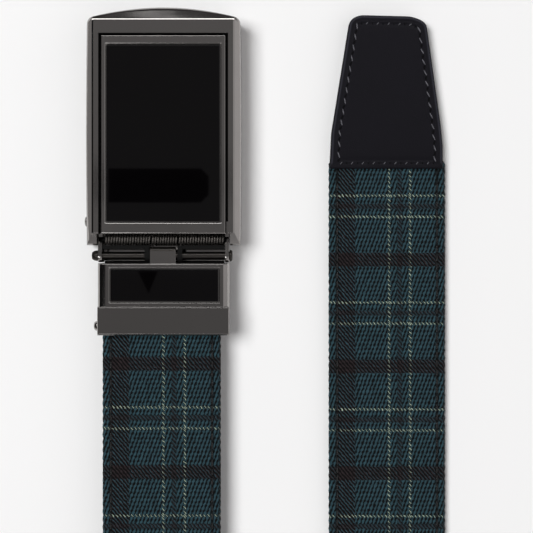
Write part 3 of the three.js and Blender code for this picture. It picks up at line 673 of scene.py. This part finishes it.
# Beyond the legs it turns onto its edge over this length, bends outwards and closes in a loop.
TWIST_LENGTH = 140.0
BEND_HIGH_Y = -205.0
BEND_LOW_Y = -225.0
LOOP_HALF_WIDTH = 114.0
LOOP_WIDE_Y = -330.0
LOOP_LOW_Y = -448.0
LOOP_PULL = 65.0
LOOP_ROUND = 0.56


def bezier(a, b, c, d, steps=400):
    """Points on a cubic curve, without its first one."""
    points = []
    for i in range(1, steps + 1):
        t = i / steps
        k = 1 - t
        points.append(a * k**3 + b * 3 * k * k * t + c * 3 * k * t * t + d * t**3)
    return points


def plan_points():
    """The strap's middle line in plan, as closely spaced points."""
    middle = (STRAP_X + TIP_X) / 2

    def side(x, sign):
        """From the end of a leg to the lowest point of the loop."""
        wide = middle + sign * LOOP_HALF_WIDTH
        points = [Vector((x, LEG_END_Y))]
        points += bezier(
            points[-1], Vector((x, BEND_HIGH_Y)), Vector((wide, BEND_LOW_Y)), Vector((wide, LOOP_WIDE_Y))
        )
        points += bezier(
            points[-1],
            Vector((wide, LOOP_WIDE_Y - LOOP_PULL)),
            Vector((middle + sign * LOOP_ROUND * LOOP_HALF_WIDTH, LOOP_LOW_Y)),
            Vector((middle, LOOP_LOW_Y)),
        )
        return points

    left = [Vector((STRAP_X, STRAP_START_Y)), *side(STRAP_X, -1)]
    right = [*reversed(side(TIP_X, 1)[:-1]), Vector((TIP_X, STRAP_END_Y))]
    return left + right


def eased(value):
    """A share held between 0 and 1, with a gentle start and end."""
    t = min(max(value, 0.0), 1.0)
    return t * t * (3 - 2 * t)


class Route:
    """The strap's middle line, with its length, its height and its turn onto its edge."""

    def __init__(self, thick):
        self.points = plan_points()
        self.reach = [0.0]
        for a, b in zip(self.points, self.points[1:]):
            self.reach.append(self.reach[-1] + (b - a).length)
        self.length = self.reach[-1]
        self.thick = thick
        self.buckle_leg = STRAP_START_Y - LEG_END_Y
        self.tip_leg = STRAP_END_Y - LEG_END_Y
        self.at = 0

    def plan(self, s):
        """The point in plan at a distance s from the buckle's end."""
        s = min(max(s, 0.0), self.length)
        while self.at > 0 and self.reach[self.at] > s:
            self.at -= 1
        while self.at < len(self.reach) - 2 and self.reach[self.at + 1] < s:
            self.at += 1
        a, b = self.reach[self.at], self.reach[self.at + 1]
        return self.points[self.at].lerp(self.points[self.at + 1], (s - a) / max(b - a, 1e-9))

    def turn(self, s):
        """How far the strap is turned onto its edge, up to a quarter turn."""
        from_buckle = eased((s - self.buckle_leg) / TWIST_LENGTH)
        from_tip = eased((self.length - s - self.tip_leg) / TWIST_LENGTH)
        return math.pi / 2 * min(from_buckle, from_tip)

    def height(self, s):
        """The height of the middle line: on its edge, the strap stands half its width up."""
        turn = self.turn(s)
        on_edge = STRAP_HALF * math.sin(turn)
        if s > self.length / 2:
            return on_edge + TIP_STRAP_Z * math.cos(turn)
        free = CLAMP_STRAP_Z + (STRAP_HALF - CLAMP_STRAP_Z) * math.sin(turn)
        return max(free, on_edge + self.thick / 2 * math.cos(turn))

    def point(self, s):
        flat = self.plan(s)
        return Vector((flat.x, flat.y, self.height(s)))

    def frame(self, s):
        """The middle of the strap at s, and the directions across it, off its face and along."""
        along = (self.point(s + 0.5) - self.point(s - 0.5)).normalized()
        flat_normal = (Vector((0, 0, 1)) - along * along.z).normalized()
        flat_across = along.cross(flat_normal)
        turn = self.turn(s)
        normal = flat_normal * math.cos(turn) + flat_across * math.sin(turn)
        return self.point(s), along.cross(normal), normal, along


# Where the tartan lies, in millimetres: the pair of pale lines is this far off the middle, on
# the right on both ends, so the sett drifts across and along the stretch between them.
PAIR_OFF_MIDDLE = 4.1
BUCKLE_PAIR_Y = -49.0
TIP_PAIR_Y = 19.8


def sett_place(route, s, across):
    """The position in the sett, across and along, of a place on the strap."""
    hidden = route.length - route.buckle_leg - route.tip_leg
    drift = eased((s - route.buckle_leg) / hidden)
    buckle_pair = STRAP_START_Y - BUCKLE_PAIR_Y
    apart = route.length - (STRAP_END_Y - TIP_PAIR_Y) - buckle_pair
    stretch = round(apart / SETT) * SETT - apart
    return across + PAIR_OFF_MIDDLE * (1 - 2 * drift), s - buckle_pair + stretch * drift


def strap_section(half, groove):
    """Rows of distance from the middle in millimetres and height as a share of half the
    thickness, from the middle out to the woven edge."""
    inner = [(share * (groove - 1.2), 1.0) for share in (0.0, 0.25, 0.5, 0.75, 1.0)]
    seam = [(groove - 0.45, 0.97), (groove - 0.12, 0.78), (groove + 0.12, 0.78), (groove + 0.45, 0.97)]
    edge = [(half - 1.6, 1.04), (half - 0.9, 1.0), (half - 0.4, 0.78), (half - 0.1, 0.4)]
    return inner + seam + edge


# The strap in millimetres: one row of its mesh, where its waves begin off the middle, and the
# distance from its buckle end to the first edge stitch, which the clamp hides.
ROW_STEP = 1.25
SCALLOP_FROM = 15.5
FIRST_STITCH = 24
# In the leather the strap has no waves. It narrows by a share of its width over a short run,
# and by another share over its last stretch.
TUCK_Y = 34
TUCK_RUN = 4
TUCK_NARROWS = 0.137
TAPER_RUN = 22
TAPER_NARROWS = 0.16
# An edge stitch's length as a share of its pitch, and its height as a share of half the strap's
STITCH_SHARE = 0.78
STITCH_LIFT = 0.86


class BELT_OT_strap(bpy.types.Operator):
    """Weave the strap along its route, with its scalloped edges and edge stitching"""

    bl_idname = "belt.strap"
    bl_label = "Strap"

    def execute(self, context):
        settings = context.scene.belt_strap
        half = settings.width / MM / 2
        thick = settings.thick / MM
        route = Route(thick)
        section = strap_section(half, settings.groove / MM)
        front = [(-a, h) for a, h in reversed(section)] + section[1:]
        ring = [(-half, 0.0), *front, (half, 0.0), *[(a, -h) for a, h in reversed(front)]]
        count = round(route.length / ROW_STEP)
        points, sett, place = [], [], []
        for i in range(count + 1):
            s = route.length * i / count
            middle, across, normal, _ = route.frame(s)
            wave = math.sin(math.tau * s / (settings.scallop_pitch / MM) + 0.8 * math.sin(s * 0.11))
            inside_tip = min(max((s - route.length + STRAP_END_Y - TUCK_Y) / TUCK_RUN, 0.0), 1.0)
            scallop = settings.scallop / MM * wave * (1 - inside_tip)
            taper = max(s - route.length + TAPER_RUN, 0) / TAPER_RUN
            narrow = 1 - inside_tip * (TUCK_NARROWS + TAPER_NARROWS * taper)
            for a, h in ring:
                edge = max(0.0, (abs(a) - SCALLOP_FROM) / (half - SCALLOP_FROM))
                a_moved = (a + math.copysign(scallop * edge, a)) * narrow
                spot = middle + across * a_moved + normal * (h * thick / 2)
                points.append(SHIFT + spot * MM)
                sett.append(sett_place(route, s, a_moved))
                place.append((a, s))
        faces = lofted_faces(count + 1, len(ring))
        strap = mesh_piece("canvas_strap", points, faces, tartan_canvas(), smooth=50)
        for name, rows in (("sett", sett), ("place", place)):
            layer = strap.data.uv_layers.new(name=name)
            for loop in strap.data.loops:
                layer.data[loop.index].uv = rows[loop.vertex_index]
        fit(strap, "root", "canvas", "strap")
        stitches = self.edge_stitches(settings, route, thick)
        return {"FINISHED"}

    def edge_stitches(self, settings, route, thick):
        """A row of stitches in each groove, on both faces, up to the leather."""
        thread = waxed_thread("edge_thread", linear("#0b0c0e"))
        pitch = settings.stitch_pitch / MM
        last = route.length - (STRAP_END_Y - TIP_LOW_Y) - 1
        rows = []
        for face in (1, -1):
            for side in (1, -1):
                for i in range(int((last - FIRST_STITCH) / pitch)):
                    s = FIRST_STITCH + i * pitch
                    middle, across, normal, along = route.frame(s)
                    lift = normal * face * (thick / 2 * STITCH_LIFT)
                    spot = middle + across * side * settings.groove / MM + lift
                    rows.append((SHIFT + spot * MM, normal * face, along, Vector((1, 1, 1))))
        values = {
            "Length": pitch * STITCH_SHARE * MM,
            "Width": 0.42 * MM,
            "Height": 0.4 * MM,
            "Slant": 0.0,
            "Material": thread,
        }
        stitches = beads("edge_stitches", rows, values)
        fit(stitches, "root", "canvas")
        return stitches


# Stitches on the tip's two ends show this much of their length: the rest dips into the leather.
END_STITCH = 0.36
# The lowest row lies this far above the leather's lower edge, in millimetres.
LOW_ROW = 1.8
# Distance between the points of the leather's outline, in millimetres
TIP_STEP = 1.2


def tip_corners():
    """The leather tip's outline about the strap's middle line, in millimetres: its corners and
    the points of its rounded ones, from the lower left, turning left."""

    def bow(a, b, c):
        """A rounded corner from a to c, drawn towards b."""
        points = [Vector(a)]
        for i in range(1, 13):
            t = i / 12
            points.append(Vector(a) * (1 - t) ** 2 + Vector(b) * 2 * t * (1 - t) + Vector(c) * t * t)
        return points

    return [
        Vector((-TIP_HALF_LEFT, TIP_LOW_Y)),
        Vector((18.2, TIP_LOW_Y)),
        Vector((18.2, 39.5)),
        Vector((17.55, 46.1)),
        *bow((13, 78.6), (12.4, 81.1), (7.2, 82.1)),
        *bow((-8.2, 82.5), (-12, 82), (-12.6, 79.4)),
        Vector((-18.3, 44)),
    ]


def drawn_in(corners, inset):
    """The outline moved inwards by an inset, its corners mitred."""
    moved = []
    rows = zip(corners[-1:] + corners[:-1], corners, corners[1:] + corners[:1])
    for before, corner, after in rows:
        a = (corner - before).normalized()
        b = (after - corner).normalized()
        inward = Vector((-a.y - b.y, a.x + b.x)).normalized()
        mitre = max(0.5, inward.dot(Vector((-a.y, a.x))))
        moved.append(corner + inward * inset / mitre)
    return moved


def filled_in(corners, counts):
    """Points along each side, as many as its count says."""
    points = []
    for a, b, count in zip(corners, corners[1:] + corners[:1], counts):
        points += [a.lerp(b, i / count) for i in range(count)]
    return points


class BELT_OT_leather_tip(bpy.types.Operator):
    """Make the leather tip with its pressed edge, its seam groove and its stitches"""

    bl_idname = "belt.leather_tip"
    bl_label = "Leather tip"

    def execute(self, context):
        settings = context.scene.belt_leather
        thick = settings.thick / MM
        seam = settings.seam / MM
        corners = tip_corners()
        ahead = corners[1:] + corners[:1]
        counts = [max(1, round((b - a).length / TIP_STEP)) for a, b in zip(corners, ahead)]
        # The section from the middle of the back round to the middle of the front: distance
        # inwards from the outline, and height, with the pressed edge and the seam's groove.
        rings = [
            (seam + 4.0, 0.0),
            (1.2, 0.0),
            (0.5, 0.06),
            (0.12, 0.3),
            (0.0, 0.7),
            (0.0, thick - 0.6),
            (0.06, thick - 0.36),
            (0.2, thick - 0.18),
            (0.45, thick - 0.1),
            (0.75, thick - 0.08),
            (1.05, thick - 0.1),
            (1.4, thick - 0.1),
            (1.65, thick - 0.16),
            (1.9, thick - 0.1),
            (seam - 0.45, thick - 0.08),
            (seam - 0.15, thick - 0.2),
            (seam + 0.15, thick - 0.2),
            (seam + 0.5, thick - 0.05),
            (seam + 1.2, thick),
            (seam + 3.0, thick),
        ]
        centre = Vector((0, (TIP_LOW_Y + TIP_TOP_Y) / 2))
        points, insets = [], []
        for inset, z in rings:
            drawn = filled_in(drawn_in(corners, min(inset, seam)), counts)
            inwards = max(inset - seam, 0) / TIP_HALF_LEFT
            low = min(p.y for p in drawn) + 0.01
            for p in drawn:
                # The lower edge is cut, not pressed, so it has no painted band.
                insets.append(seam if p.y < low and z > thick / 2 else inset)
                p = p.lerp(centre, inwards)
                points.append(SHIFT + Vector((p.x + TIP_X, p.y, z)) * MM)
        faces = lofted_faces(len(rings), sum(counts))
        tip = mesh_piece("leather_end", points, faces, smooth_leather(), smooth=45)
        attribute = tip.data.attributes.new("inset", "FLOAT", "POINT")
        attribute.data.foreach_set("value", insets)
        slot = self.slot_cutter(thick)
        cutting = tip.modifiers.new("slot", "BOOLEAN")
        cutting.object = slot
        cutting.operation = "DIFFERENCE"
        cutting.solver = "EXACT"
        tip = applied(tip)
        bpy.data.objects.remove(slot)
        finish_shading(tip.data, 45)
        fit(tip, "root", "leather", "leather_tip")
        path = drawn_in(corners, seam)
        for corner in path:
            if corner.y < TIP_LOW_Y + seam + 0.01:
                corner.y = TIP_LOW_Y + LOW_ROW
        self.stitches(settings, path, thick)
        return {"FINISHED"}

    def slot_cutter(self, thick):
        """The space between the plies, which the strap's end fills."""
        half = [(19.4, TIP_LOW_Y - 2), (19.4, 34.2), (16.8, 38.2), (13.8, STRAP_END_Y + 0.3)]
        ring = half + [(-x, y) for x, y in reversed(half)]
        low, high = 1.1, thick - 0.9
        points = [SHIFT + Vector((TIP_X + x, y, z)) * MM for z in (low, high) for x, y in ring]
        unseen = bpy.data.materials.new("cutter")
        return mesh_piece("slot_cutter", points, lofted_faces(2, len(ring)), unseen)

    def stitches(self, settings, path, thick):
        """Slanting stitches round the seam, shorter on the two ends, and black beads of painted shade
        for the holes between.
        """
        closed = path + path[:1]
        lengths = [(b - a).length for a, b in zip(closed, closed[1:])]
        total = sum(lengths)
        count = round(total / (settings.stitch_pitch / MM))
        rows, holes = {1: [], -1: []}, []
        up = Vector((0, 0, 1))
        for i in range(count):
            for share in (0.25, 0.75):
                spot, run = point_along(closed, lengths, total * (i + share) / count)
                on_end = abs(run.x) > 0.8
                size = END_STITCH if on_end else 1.0
                for face, z in ((1, thick - 0.16), (-1, 0.1)):
                    place = SHIFT + Vector((spot.x + TIP_X, spot.y, z)) * MM
                    row = (place, up * face, Vector((run.x, run.y, 0)), Vector((size, 1, 1)))
                    (rows[face] if share < 0.5 else holes).append(row)
        thread = waxed_thread("seam_thread", tuple(settings.thread))
        for face, name in ((1, "seam_front"), (-1, "seam_back")):
            values = {
                "Length": settings.stitch_length,
                "Width": 0.42 * MM,
                "Height": 0.5 * MM,
                "Slant": math.radians(22),
                "Material": thread,
            }
            fit(beads(name, rows[face], values), "root", "leather")
        values = {
            "Length": 1.35 * MM,
            "Width": 0.85 * MM,
            "Height": 0.34 * MM,
            "Slant": math.radians(-28),
            "Material": painted_hole_shade(),
        }
        fit(beads("painted_hole_shades", holes, values), "root", "leather")


def point_along(path, lengths, distance):
    """The point at a distance along a path, and the direction there."""
    for a, b, length in zip(path, path[1:], lengths):
        if distance <= length:
            return a.lerp(b, distance / length), (b - a).normalized()
        distance -= length
    return path[-1], (path[-1] - path[-2]).normalized()


class BELT_OT_track(bpy.types.Operator):
    """Finish the toothed track behind the free end"""

    bl_idname = "belt.track"
    bl_label = "Toothed track"

    def execute(self, context):
        edge = TRACK_EDGE * MM
        track = rounded_copy("toothed_track", "ratchet_rack", moulded_nylon(), edge, segments=2)
        fit(track, "root", "track", "ratchet_rack")
        return {"FINISHED"}


# The ears and the floor below bound the box that takes the hinge's painted shade.
# From the hinge pin's ends to the inner faces of the ears, and the height above which the bars
# show, in millimetres
LEFT_EAR = 3.2
RIGHT_EAR = 2.4
HINGE_FLOOR = 6

# Polished metal pieces: name, node, body, share of the edge rounding
METAL_PIECES = [
    ("frame_casing", "buckle_frame", "casing", 1.0),
    ("plate_of_face", "face_plate", "casing", 0.8),
    ("pin_of_frame", "frame_pin", "casing", 0.6),
    ("catch", "pawl", "casing", 0.6),
    ("channel_housing", "housing", "yoke", 0.7),
    ("clamp_shell", "clamp_body", "root", 0.9),
    ("pin_of_clamp", "clamp_pin", "root", 0.6),
]


class BELT_OT_metal(bpy.types.Operator):
    """Round the edges of the polished metal pieces and plate them"""

    bl_idname = "belt.metal"
    bl_label = "Buckle and clamp"

    def execute(self, context):
        width = context.scene.belt_buckle.edge_width
        plating = black_nickel()
        steel = turned_steel()
        shade_paint = painted_recess_shade()
        for name, node_name, body, share in METAL_PIECES:
            crisp = FRAME_ANGLE if node_name == "buckle_frame" else EDGE_ANGLE
            piece = rounded_copy(name, node_name, plating, width * share, angle=crisp)
            # The window's walls and ledge, and the hinge's bars and lugs, take painted shade.
            if node_name == "buckle_frame":
                self.shade_paint_window(piece, shade_paint)
            self.shade_paint_hinge(piece, node_name, steel, shade_paint)
            fit(piece, body, "gunmetal", node_name)
        # The spring's axle and the clamp's grip take the painted shade; the hinge pin is turned steel.
        for name, node_name, body, material in (
            ("axle_of_spring", "spring_axle", "yoke", shade_paint),
            ("clamp_grip", "clamp_flap", "root", shade_paint),
            ("pin_of_hinge", "hinge_pin", "yoke", steel),
        ):
            piece = rounded_copy(name, node_name, material, width * 0.5)
            fit(piece, body, "gunmetal", node_name)
        return {"FINISHED"}

    def shade_paint_hinge(self, piece, node_name, steel, shade_paint):
        """Painted shade on the housing's bridge bars and lugs, and satin turned steel on the knuckle's
        far corner.
        """
        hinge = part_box("hinge_pin")
        axis_y = (hinge[0].y + hinge[1].y) / 2
        left, right = hinge[0].x + LEFT_EAR * MM, hinge[1].x - RIGHT_EAR * MM
        far = axis_y + 4 * MM
        if node_name == "housing":
            paint_inside(piece, (left, axis_y - 3 * MM, HINGE_FLOOR * MM), (right, far, 1), shade_paint)
        elif node_name == "clamp_body":
            paint_inside(piece, (left, axis_y + 1.3 * MM, 0), (right, far, 1), steel)

    def shade_paint_window(self, piece, shade_paint):
        """Painted shade on the walls and the ledge of the window that the face plate sits in."""
        low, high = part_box("face_plate")
        low -= Vector((1, 1, 2)) * MM
        high += Vector((1, 1, -0.2)) * MM
        paint_inside(piece, low, high, shade_paint)


class BELT_OT_inlays(bpy.types.Operator):
    """Make the glossy black inlays of the face plate and the clamp"""

    bl_idname = "belt.inlays"
    bl_label = "Inlays"

    def execute(self, context):
        enamel = black_enamel()
        for name, node_name, body in (
            ("face_inlay", "face_panel", "casing"),
            ("clamp_inlay", "clamp_panel", "root"),
        ):
            piece = rounded_copy(name, node_name, enamel, INLAY_EDGE * MM)
            fit(piece, body, "gloss_panel", node_name)
        return {"FINISHED"}


# Each stretch of the spring reaches this share of a wire past its end, to touch the next one.
COIL_OVERLAP = 0.45


class BELT_OT_spring(bpy.types.Operator):
    """Wind the three stretches of the torsion spring"""

    bl_idname = "belt.spring"
    bl_label = "Spring"

    def execute(self, context):
        settings = context.scene.belt_spring
        tree = coil_tree()
        wire = spring_wire()
        for side, before, after in (("left", 0, 1), ("middle", 1, 1), ("right", 1, 0)):
            low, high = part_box("spring_" + side)
            low.x -= before * settings.wire * COIL_OVERLAP
            high.x += after * settings.wire * COIL_OVERLAP
            length = high.x - low.x - settings.wire
            start = bpy.data.meshes.new("coil_" + side)
            values = {
                "Turns": round(length / settings.pitch) + 0.0,
                "Mean Radius": (settings.outer - settings.wire) / 2,
                "Length": length,
                "Wire Radius": settings.wire / 2,
                "Material": wire,
            }
            coil = run_nodes(new_object("coil_" + side, start), tree, values)
            centre = (low + high) / 2
            for vertex in coil.data.vertices:
                x, y, z = vertex.co
                vertex.co = Vector((low.x + settings.wire / 2 + z, centre.y + x, centre.z + y))
            finish_shading(coil.data, METAL_SMOOTH)
            fit(coil, "yoke", "spring_steel", "spring_" + side)
        return {"FINISHED"}


# The picture is square, with this many pixels on a side.
PICTURE_PIXELS = 533


class BELT_OT_stage(bpy.types.Operator):
    """Set the pale surface, the soft light and the camera above the layout"""

    bl_idname = "belt.stage"
    bl_label = "Stage"

    def execute(self, context):
        settings = context.scene.belt_stage
        self.surface(settings)
        self.camera(context, settings)
        self.lights(settings)
        self.cards(settings)
        self.surroundings(context)
        context.scene.view_settings.view_transform = "Standard"
        return {"FINISHED"}

    def surface(self, settings):
        """A matt, nearly white sheet, a little uneven, far wider than the picture."""
        material, tree, shader = new_material("pale_surface", Roughness=0.9)
        place = add_node(tree, "ShaderNodeTexCoord").outputs["Object"]
        tone = add_node(tree, "ShaderNodeTexNoise", {"Vector": place, "Scale": 3.0})
        paint = {"Factor": tone, "A": settings.floor, "B": shaded(settings.floor, 0.985)}
        feed(shader, Base_Color=add_node(tree, "ShaderNodeMix", paint, data_type="RGBA"))
        half = 4.0
        corners = [(-half, -half, 0), (half, -half, 0), (half, half, 0), (-half, half, 0)]
        mesh_piece("surface", corners, [(0, 1, 2, 3)], material)

    def camera(self, context, settings):
        """Straight above the layout's middle, with the lens that gives the pixel its size."""
        data = bpy.data.cameras.new("camera")
        data.sensor_width = 36
        picture = PICTURE_PIXELS * settings.pixel
        data.lens = data.sensor_width * (settings.distance - settings.face_height) / picture
        data.clip_start = 0.01
        camera = new_object("camera", data)
        camera.location = SHIFT + Vector((0, 0, settings.distance))
        context.scene.camera = camera

    def lights(self, settings):
        """The key lights the matt surfaces, and the others show only in the polished ones."""
        # Name, place off the layout's middle, width and depth in metres, watts, and if it's seen
        # in polished faces alone
        rows = [
            ("key", (-1.25, 0.38, 2.95), 1.4, 1.5, settings.key_power, False),
            ("strip_far", (-0.1, 0.9, 1.55), 2.8, 0.34, 17.0, True),
            ("strip_near", (-0.6, -0.6, 1.6), 1.0, 0.3, 5.0, True),
            ("streak", (-0.21, 1.65, 1.39), 0.08, 0.5, 0.06, True),
        ]
        for name, place, width, depth, power, mirrored in rows:
            data = bpy.data.lights.new(name, "AREA")
            data.shape = "RECTANGLE"
            data.size = width
            data.size_y = depth
            data.energy = power
            lamp = new_object(name, data)
            lamp.location = SHIFT + Vector(place)
            lamp.rotation_euler = (SHIFT - lamp.location).to_track_quat("-Z", "Y").to_euler()
            lamp.visible_glossy = mirrored
            lamp.visible_diffuse = not mirrored

    def cards(self, settings):
        """Dark shapes beside the camera, which only the polished faces mirror."""
        # Black felt: it gives nothing back.
        material, tree, shader = new_material("card", Roughness=1.0, Specular_IOR_Level=0.0)
        shader.inputs["Base Color"].default_value = (0, 0, 0, 1)
        height = settings.distance
        long_card = [(-0.102, 0.041), (-0.042, 0.041), (-0.037, 0.046), (-0.037, 0.058)]
        long_card += [(-0.042, 0.063), (-0.102, 0.063)]
        left_card = [(-0.1112, 0.0402), (-0.1078, 0.0402), (-0.1078, 0.0668), (-0.1112, 0.0668)]
        right_card = [(-0.0242, 0.0402), (-0.0212, 0.0402), (-0.0212, 0.0668), (-0.0242, 0.0668)]
        small_card = [(-0.083, -0.002), (-0.076, -0.018), (-0.07, -0.002)]
        for name, outline in (
            ("card_long", long_card),
            ("card_left", left_card),
            ("card_right", right_card),
            ("card_small", small_card),
        ):
            points = [SHIFT + Vector((x, y, height)) for x, y in outline]
            card = mesh_piece(name, points, [tuple(range(len(points)))], material)
            card.visible_camera = False
            card.visible_diffuse = False
            card.visible_shadow = False

    def surroundings(self, context):
        """A studio: grey overhead, black on the left half way up and pale on the right."""
        world = bpy.data.worlds.new("studio")
        world.use_nodes = True
        tree = world.node_tree
        back = tree.nodes["Background"]
        way = add_node(tree, "ShaderNodeTexCoord").outputs["Generated"]
        parts = add_node(tree, "ShaderNodeSeparateXYZ", {0: way})
        x, y, z = (parts.outputs[key] for key in "XYZ")
        # Places in the ramp, from the level of the belt at 0 to overhead at 1, and their greys
        left = [(0.0, 0.42), (0.3, 0.37), (0.4, 0.3), (0.48, 0.01), (0.93, 0.01), (0.965, 0.2)]
        right = [(0.0, 0.8), (0.5, 0.72), (0.9, 0.6), (0.96, 0.3), (0.98, 0.2)]
        sides = []
        for stops in (left, right):
            ramp = add_node(tree, "ShaderNodeValToRGB", {"Fac": z})
            elements = ramp.color_ramp.elements
            for place, value in stops[1:-1]:
                elements.new(place)
            for element, (place, value) in zip(elements, stops):
                element.position = place
                element.color = (value, value * 0.975, value * 0.975, 1)
            sides.append(ramp.outputs["Color"])
        level = add_node(tree, "ShaderNodeMath", {0: x, 1: x}, operation="MULTIPLY")
        level = add_node(tree, "ShaderNodeMath", {0: y, 1: y, 2: level}, operation="MULTIPLY_ADD")
        reach = add_node(tree, "ShaderNodeMath", {0: level, 1: 0.5}, operation="POWER")
        share = add_node(tree, "ShaderNodeMath", {0: x, 1: reach}, operation="DIVIDE")
        east = add_node(tree, "ShaderNodeMapRange", {"Value": share, "From Min": -0.6, "From Max": 0.6})
        around = {"Factor": east, "A": sides[0], "B": sides[1]}
        feed(back, Color=add_node(tree, "ShaderNodeMix", around, data_type="RGBA"))
        # The room lights the cloth and the floor less than it shows in the metal.
        matt = add_node(tree, "ShaderNodeLightPath").outputs["Is Diffuse Ray"]
        strength = add_node(tree, "ShaderNodeMapRange", {"Value": matt, "To Min": 1.0, "To Max": 0.87})
        # Darker beyond the buckle's far end and over the clamp, paler before its near end: from
        # and to in the direction's share along the belt, and the strength there.
        for low, high, at_low, at_high in (
            (0.2, 0.6, 1.0, 0.25),
            (-0.8, -0.1, 1.8, 1.0),
            (-0.01, 0.015, 0.76, 1.0),
        ):
            inputs = {"Value": y, "From Min": low, "From Max": high, "To Min": at_low, "To Max": at_high}
            zone = add_node(tree, "ShaderNodeMapRange", inputs)
            strength = add_node(tree, "ShaderNodeMath", {0: strength, 1: zone}, operation="MULTIPLY")
        feed(back, Strength=strength)
        context.scene.world = world


class BELT_PT_panel(bpy.types.Panel):
    """Lists the belt's pieces and their settings"""

    bl_idname = "BELT_PT_panel"
    bl_label = "Canvas belt"
    bl_space_type = "VIEW_3D"
    bl_region_type = "UI"
    bl_category = "Belt"

    def draw(self, context):
        for operator in OPERATORS:
            self.layout.operator(operator.bl_idname)
        for name in GROUPS:
            box = self.layout.box()
            group = getattr(context.scene, name)
            for key in group.bl_rna.properties.keys():
                if key not in ("rna_type", "name"):
                    box.prop(group, key)


GROUPS = {
    "belt_strap": StrapSettings,
    "belt_leather": LeatherSettings,
    "belt_buckle": BuckleSettings,
    "belt_spring": SpringSettings,
    "belt_stage": StageSettings,
}
OPERATORS = [
    BELT_OT_stage,
    BELT_OT_strap,
    BELT_OT_leather_tip,
    BELT_OT_track,
    BELT_OT_metal,
    BELT_OT_inlays,
    BELT_OT_spring,
]


def register():
    for cls in [*GROUPS.values(), *OPERATORS, BELT_PT_panel]:
        bpy.utils.register_class(cls)
    for name, group in GROUPS.items():
        setattr(bpy.types.Scene, name, bpy.props.PointerProperty(type=group))


def unregister():
    for name in GROUPS:
        delattr(bpy.types.Scene, name)
    for cls in reversed([*GROUPS.values(), *OPERATORS, BELT_PT_panel]):
        bpy.utils.unregister_class(cls)


def main():
    register()
    bpy.ops.belt.stage()
    bpy.ops.belt.strap()
    bpy.ops.belt.leather_tip()
    bpy.ops.belt.track()
    bpy.ops.belt.metal()
    bpy.ops.belt.inlays()
    bpy.ops.belt.spring()


if __name__ == "__main__":
    main()
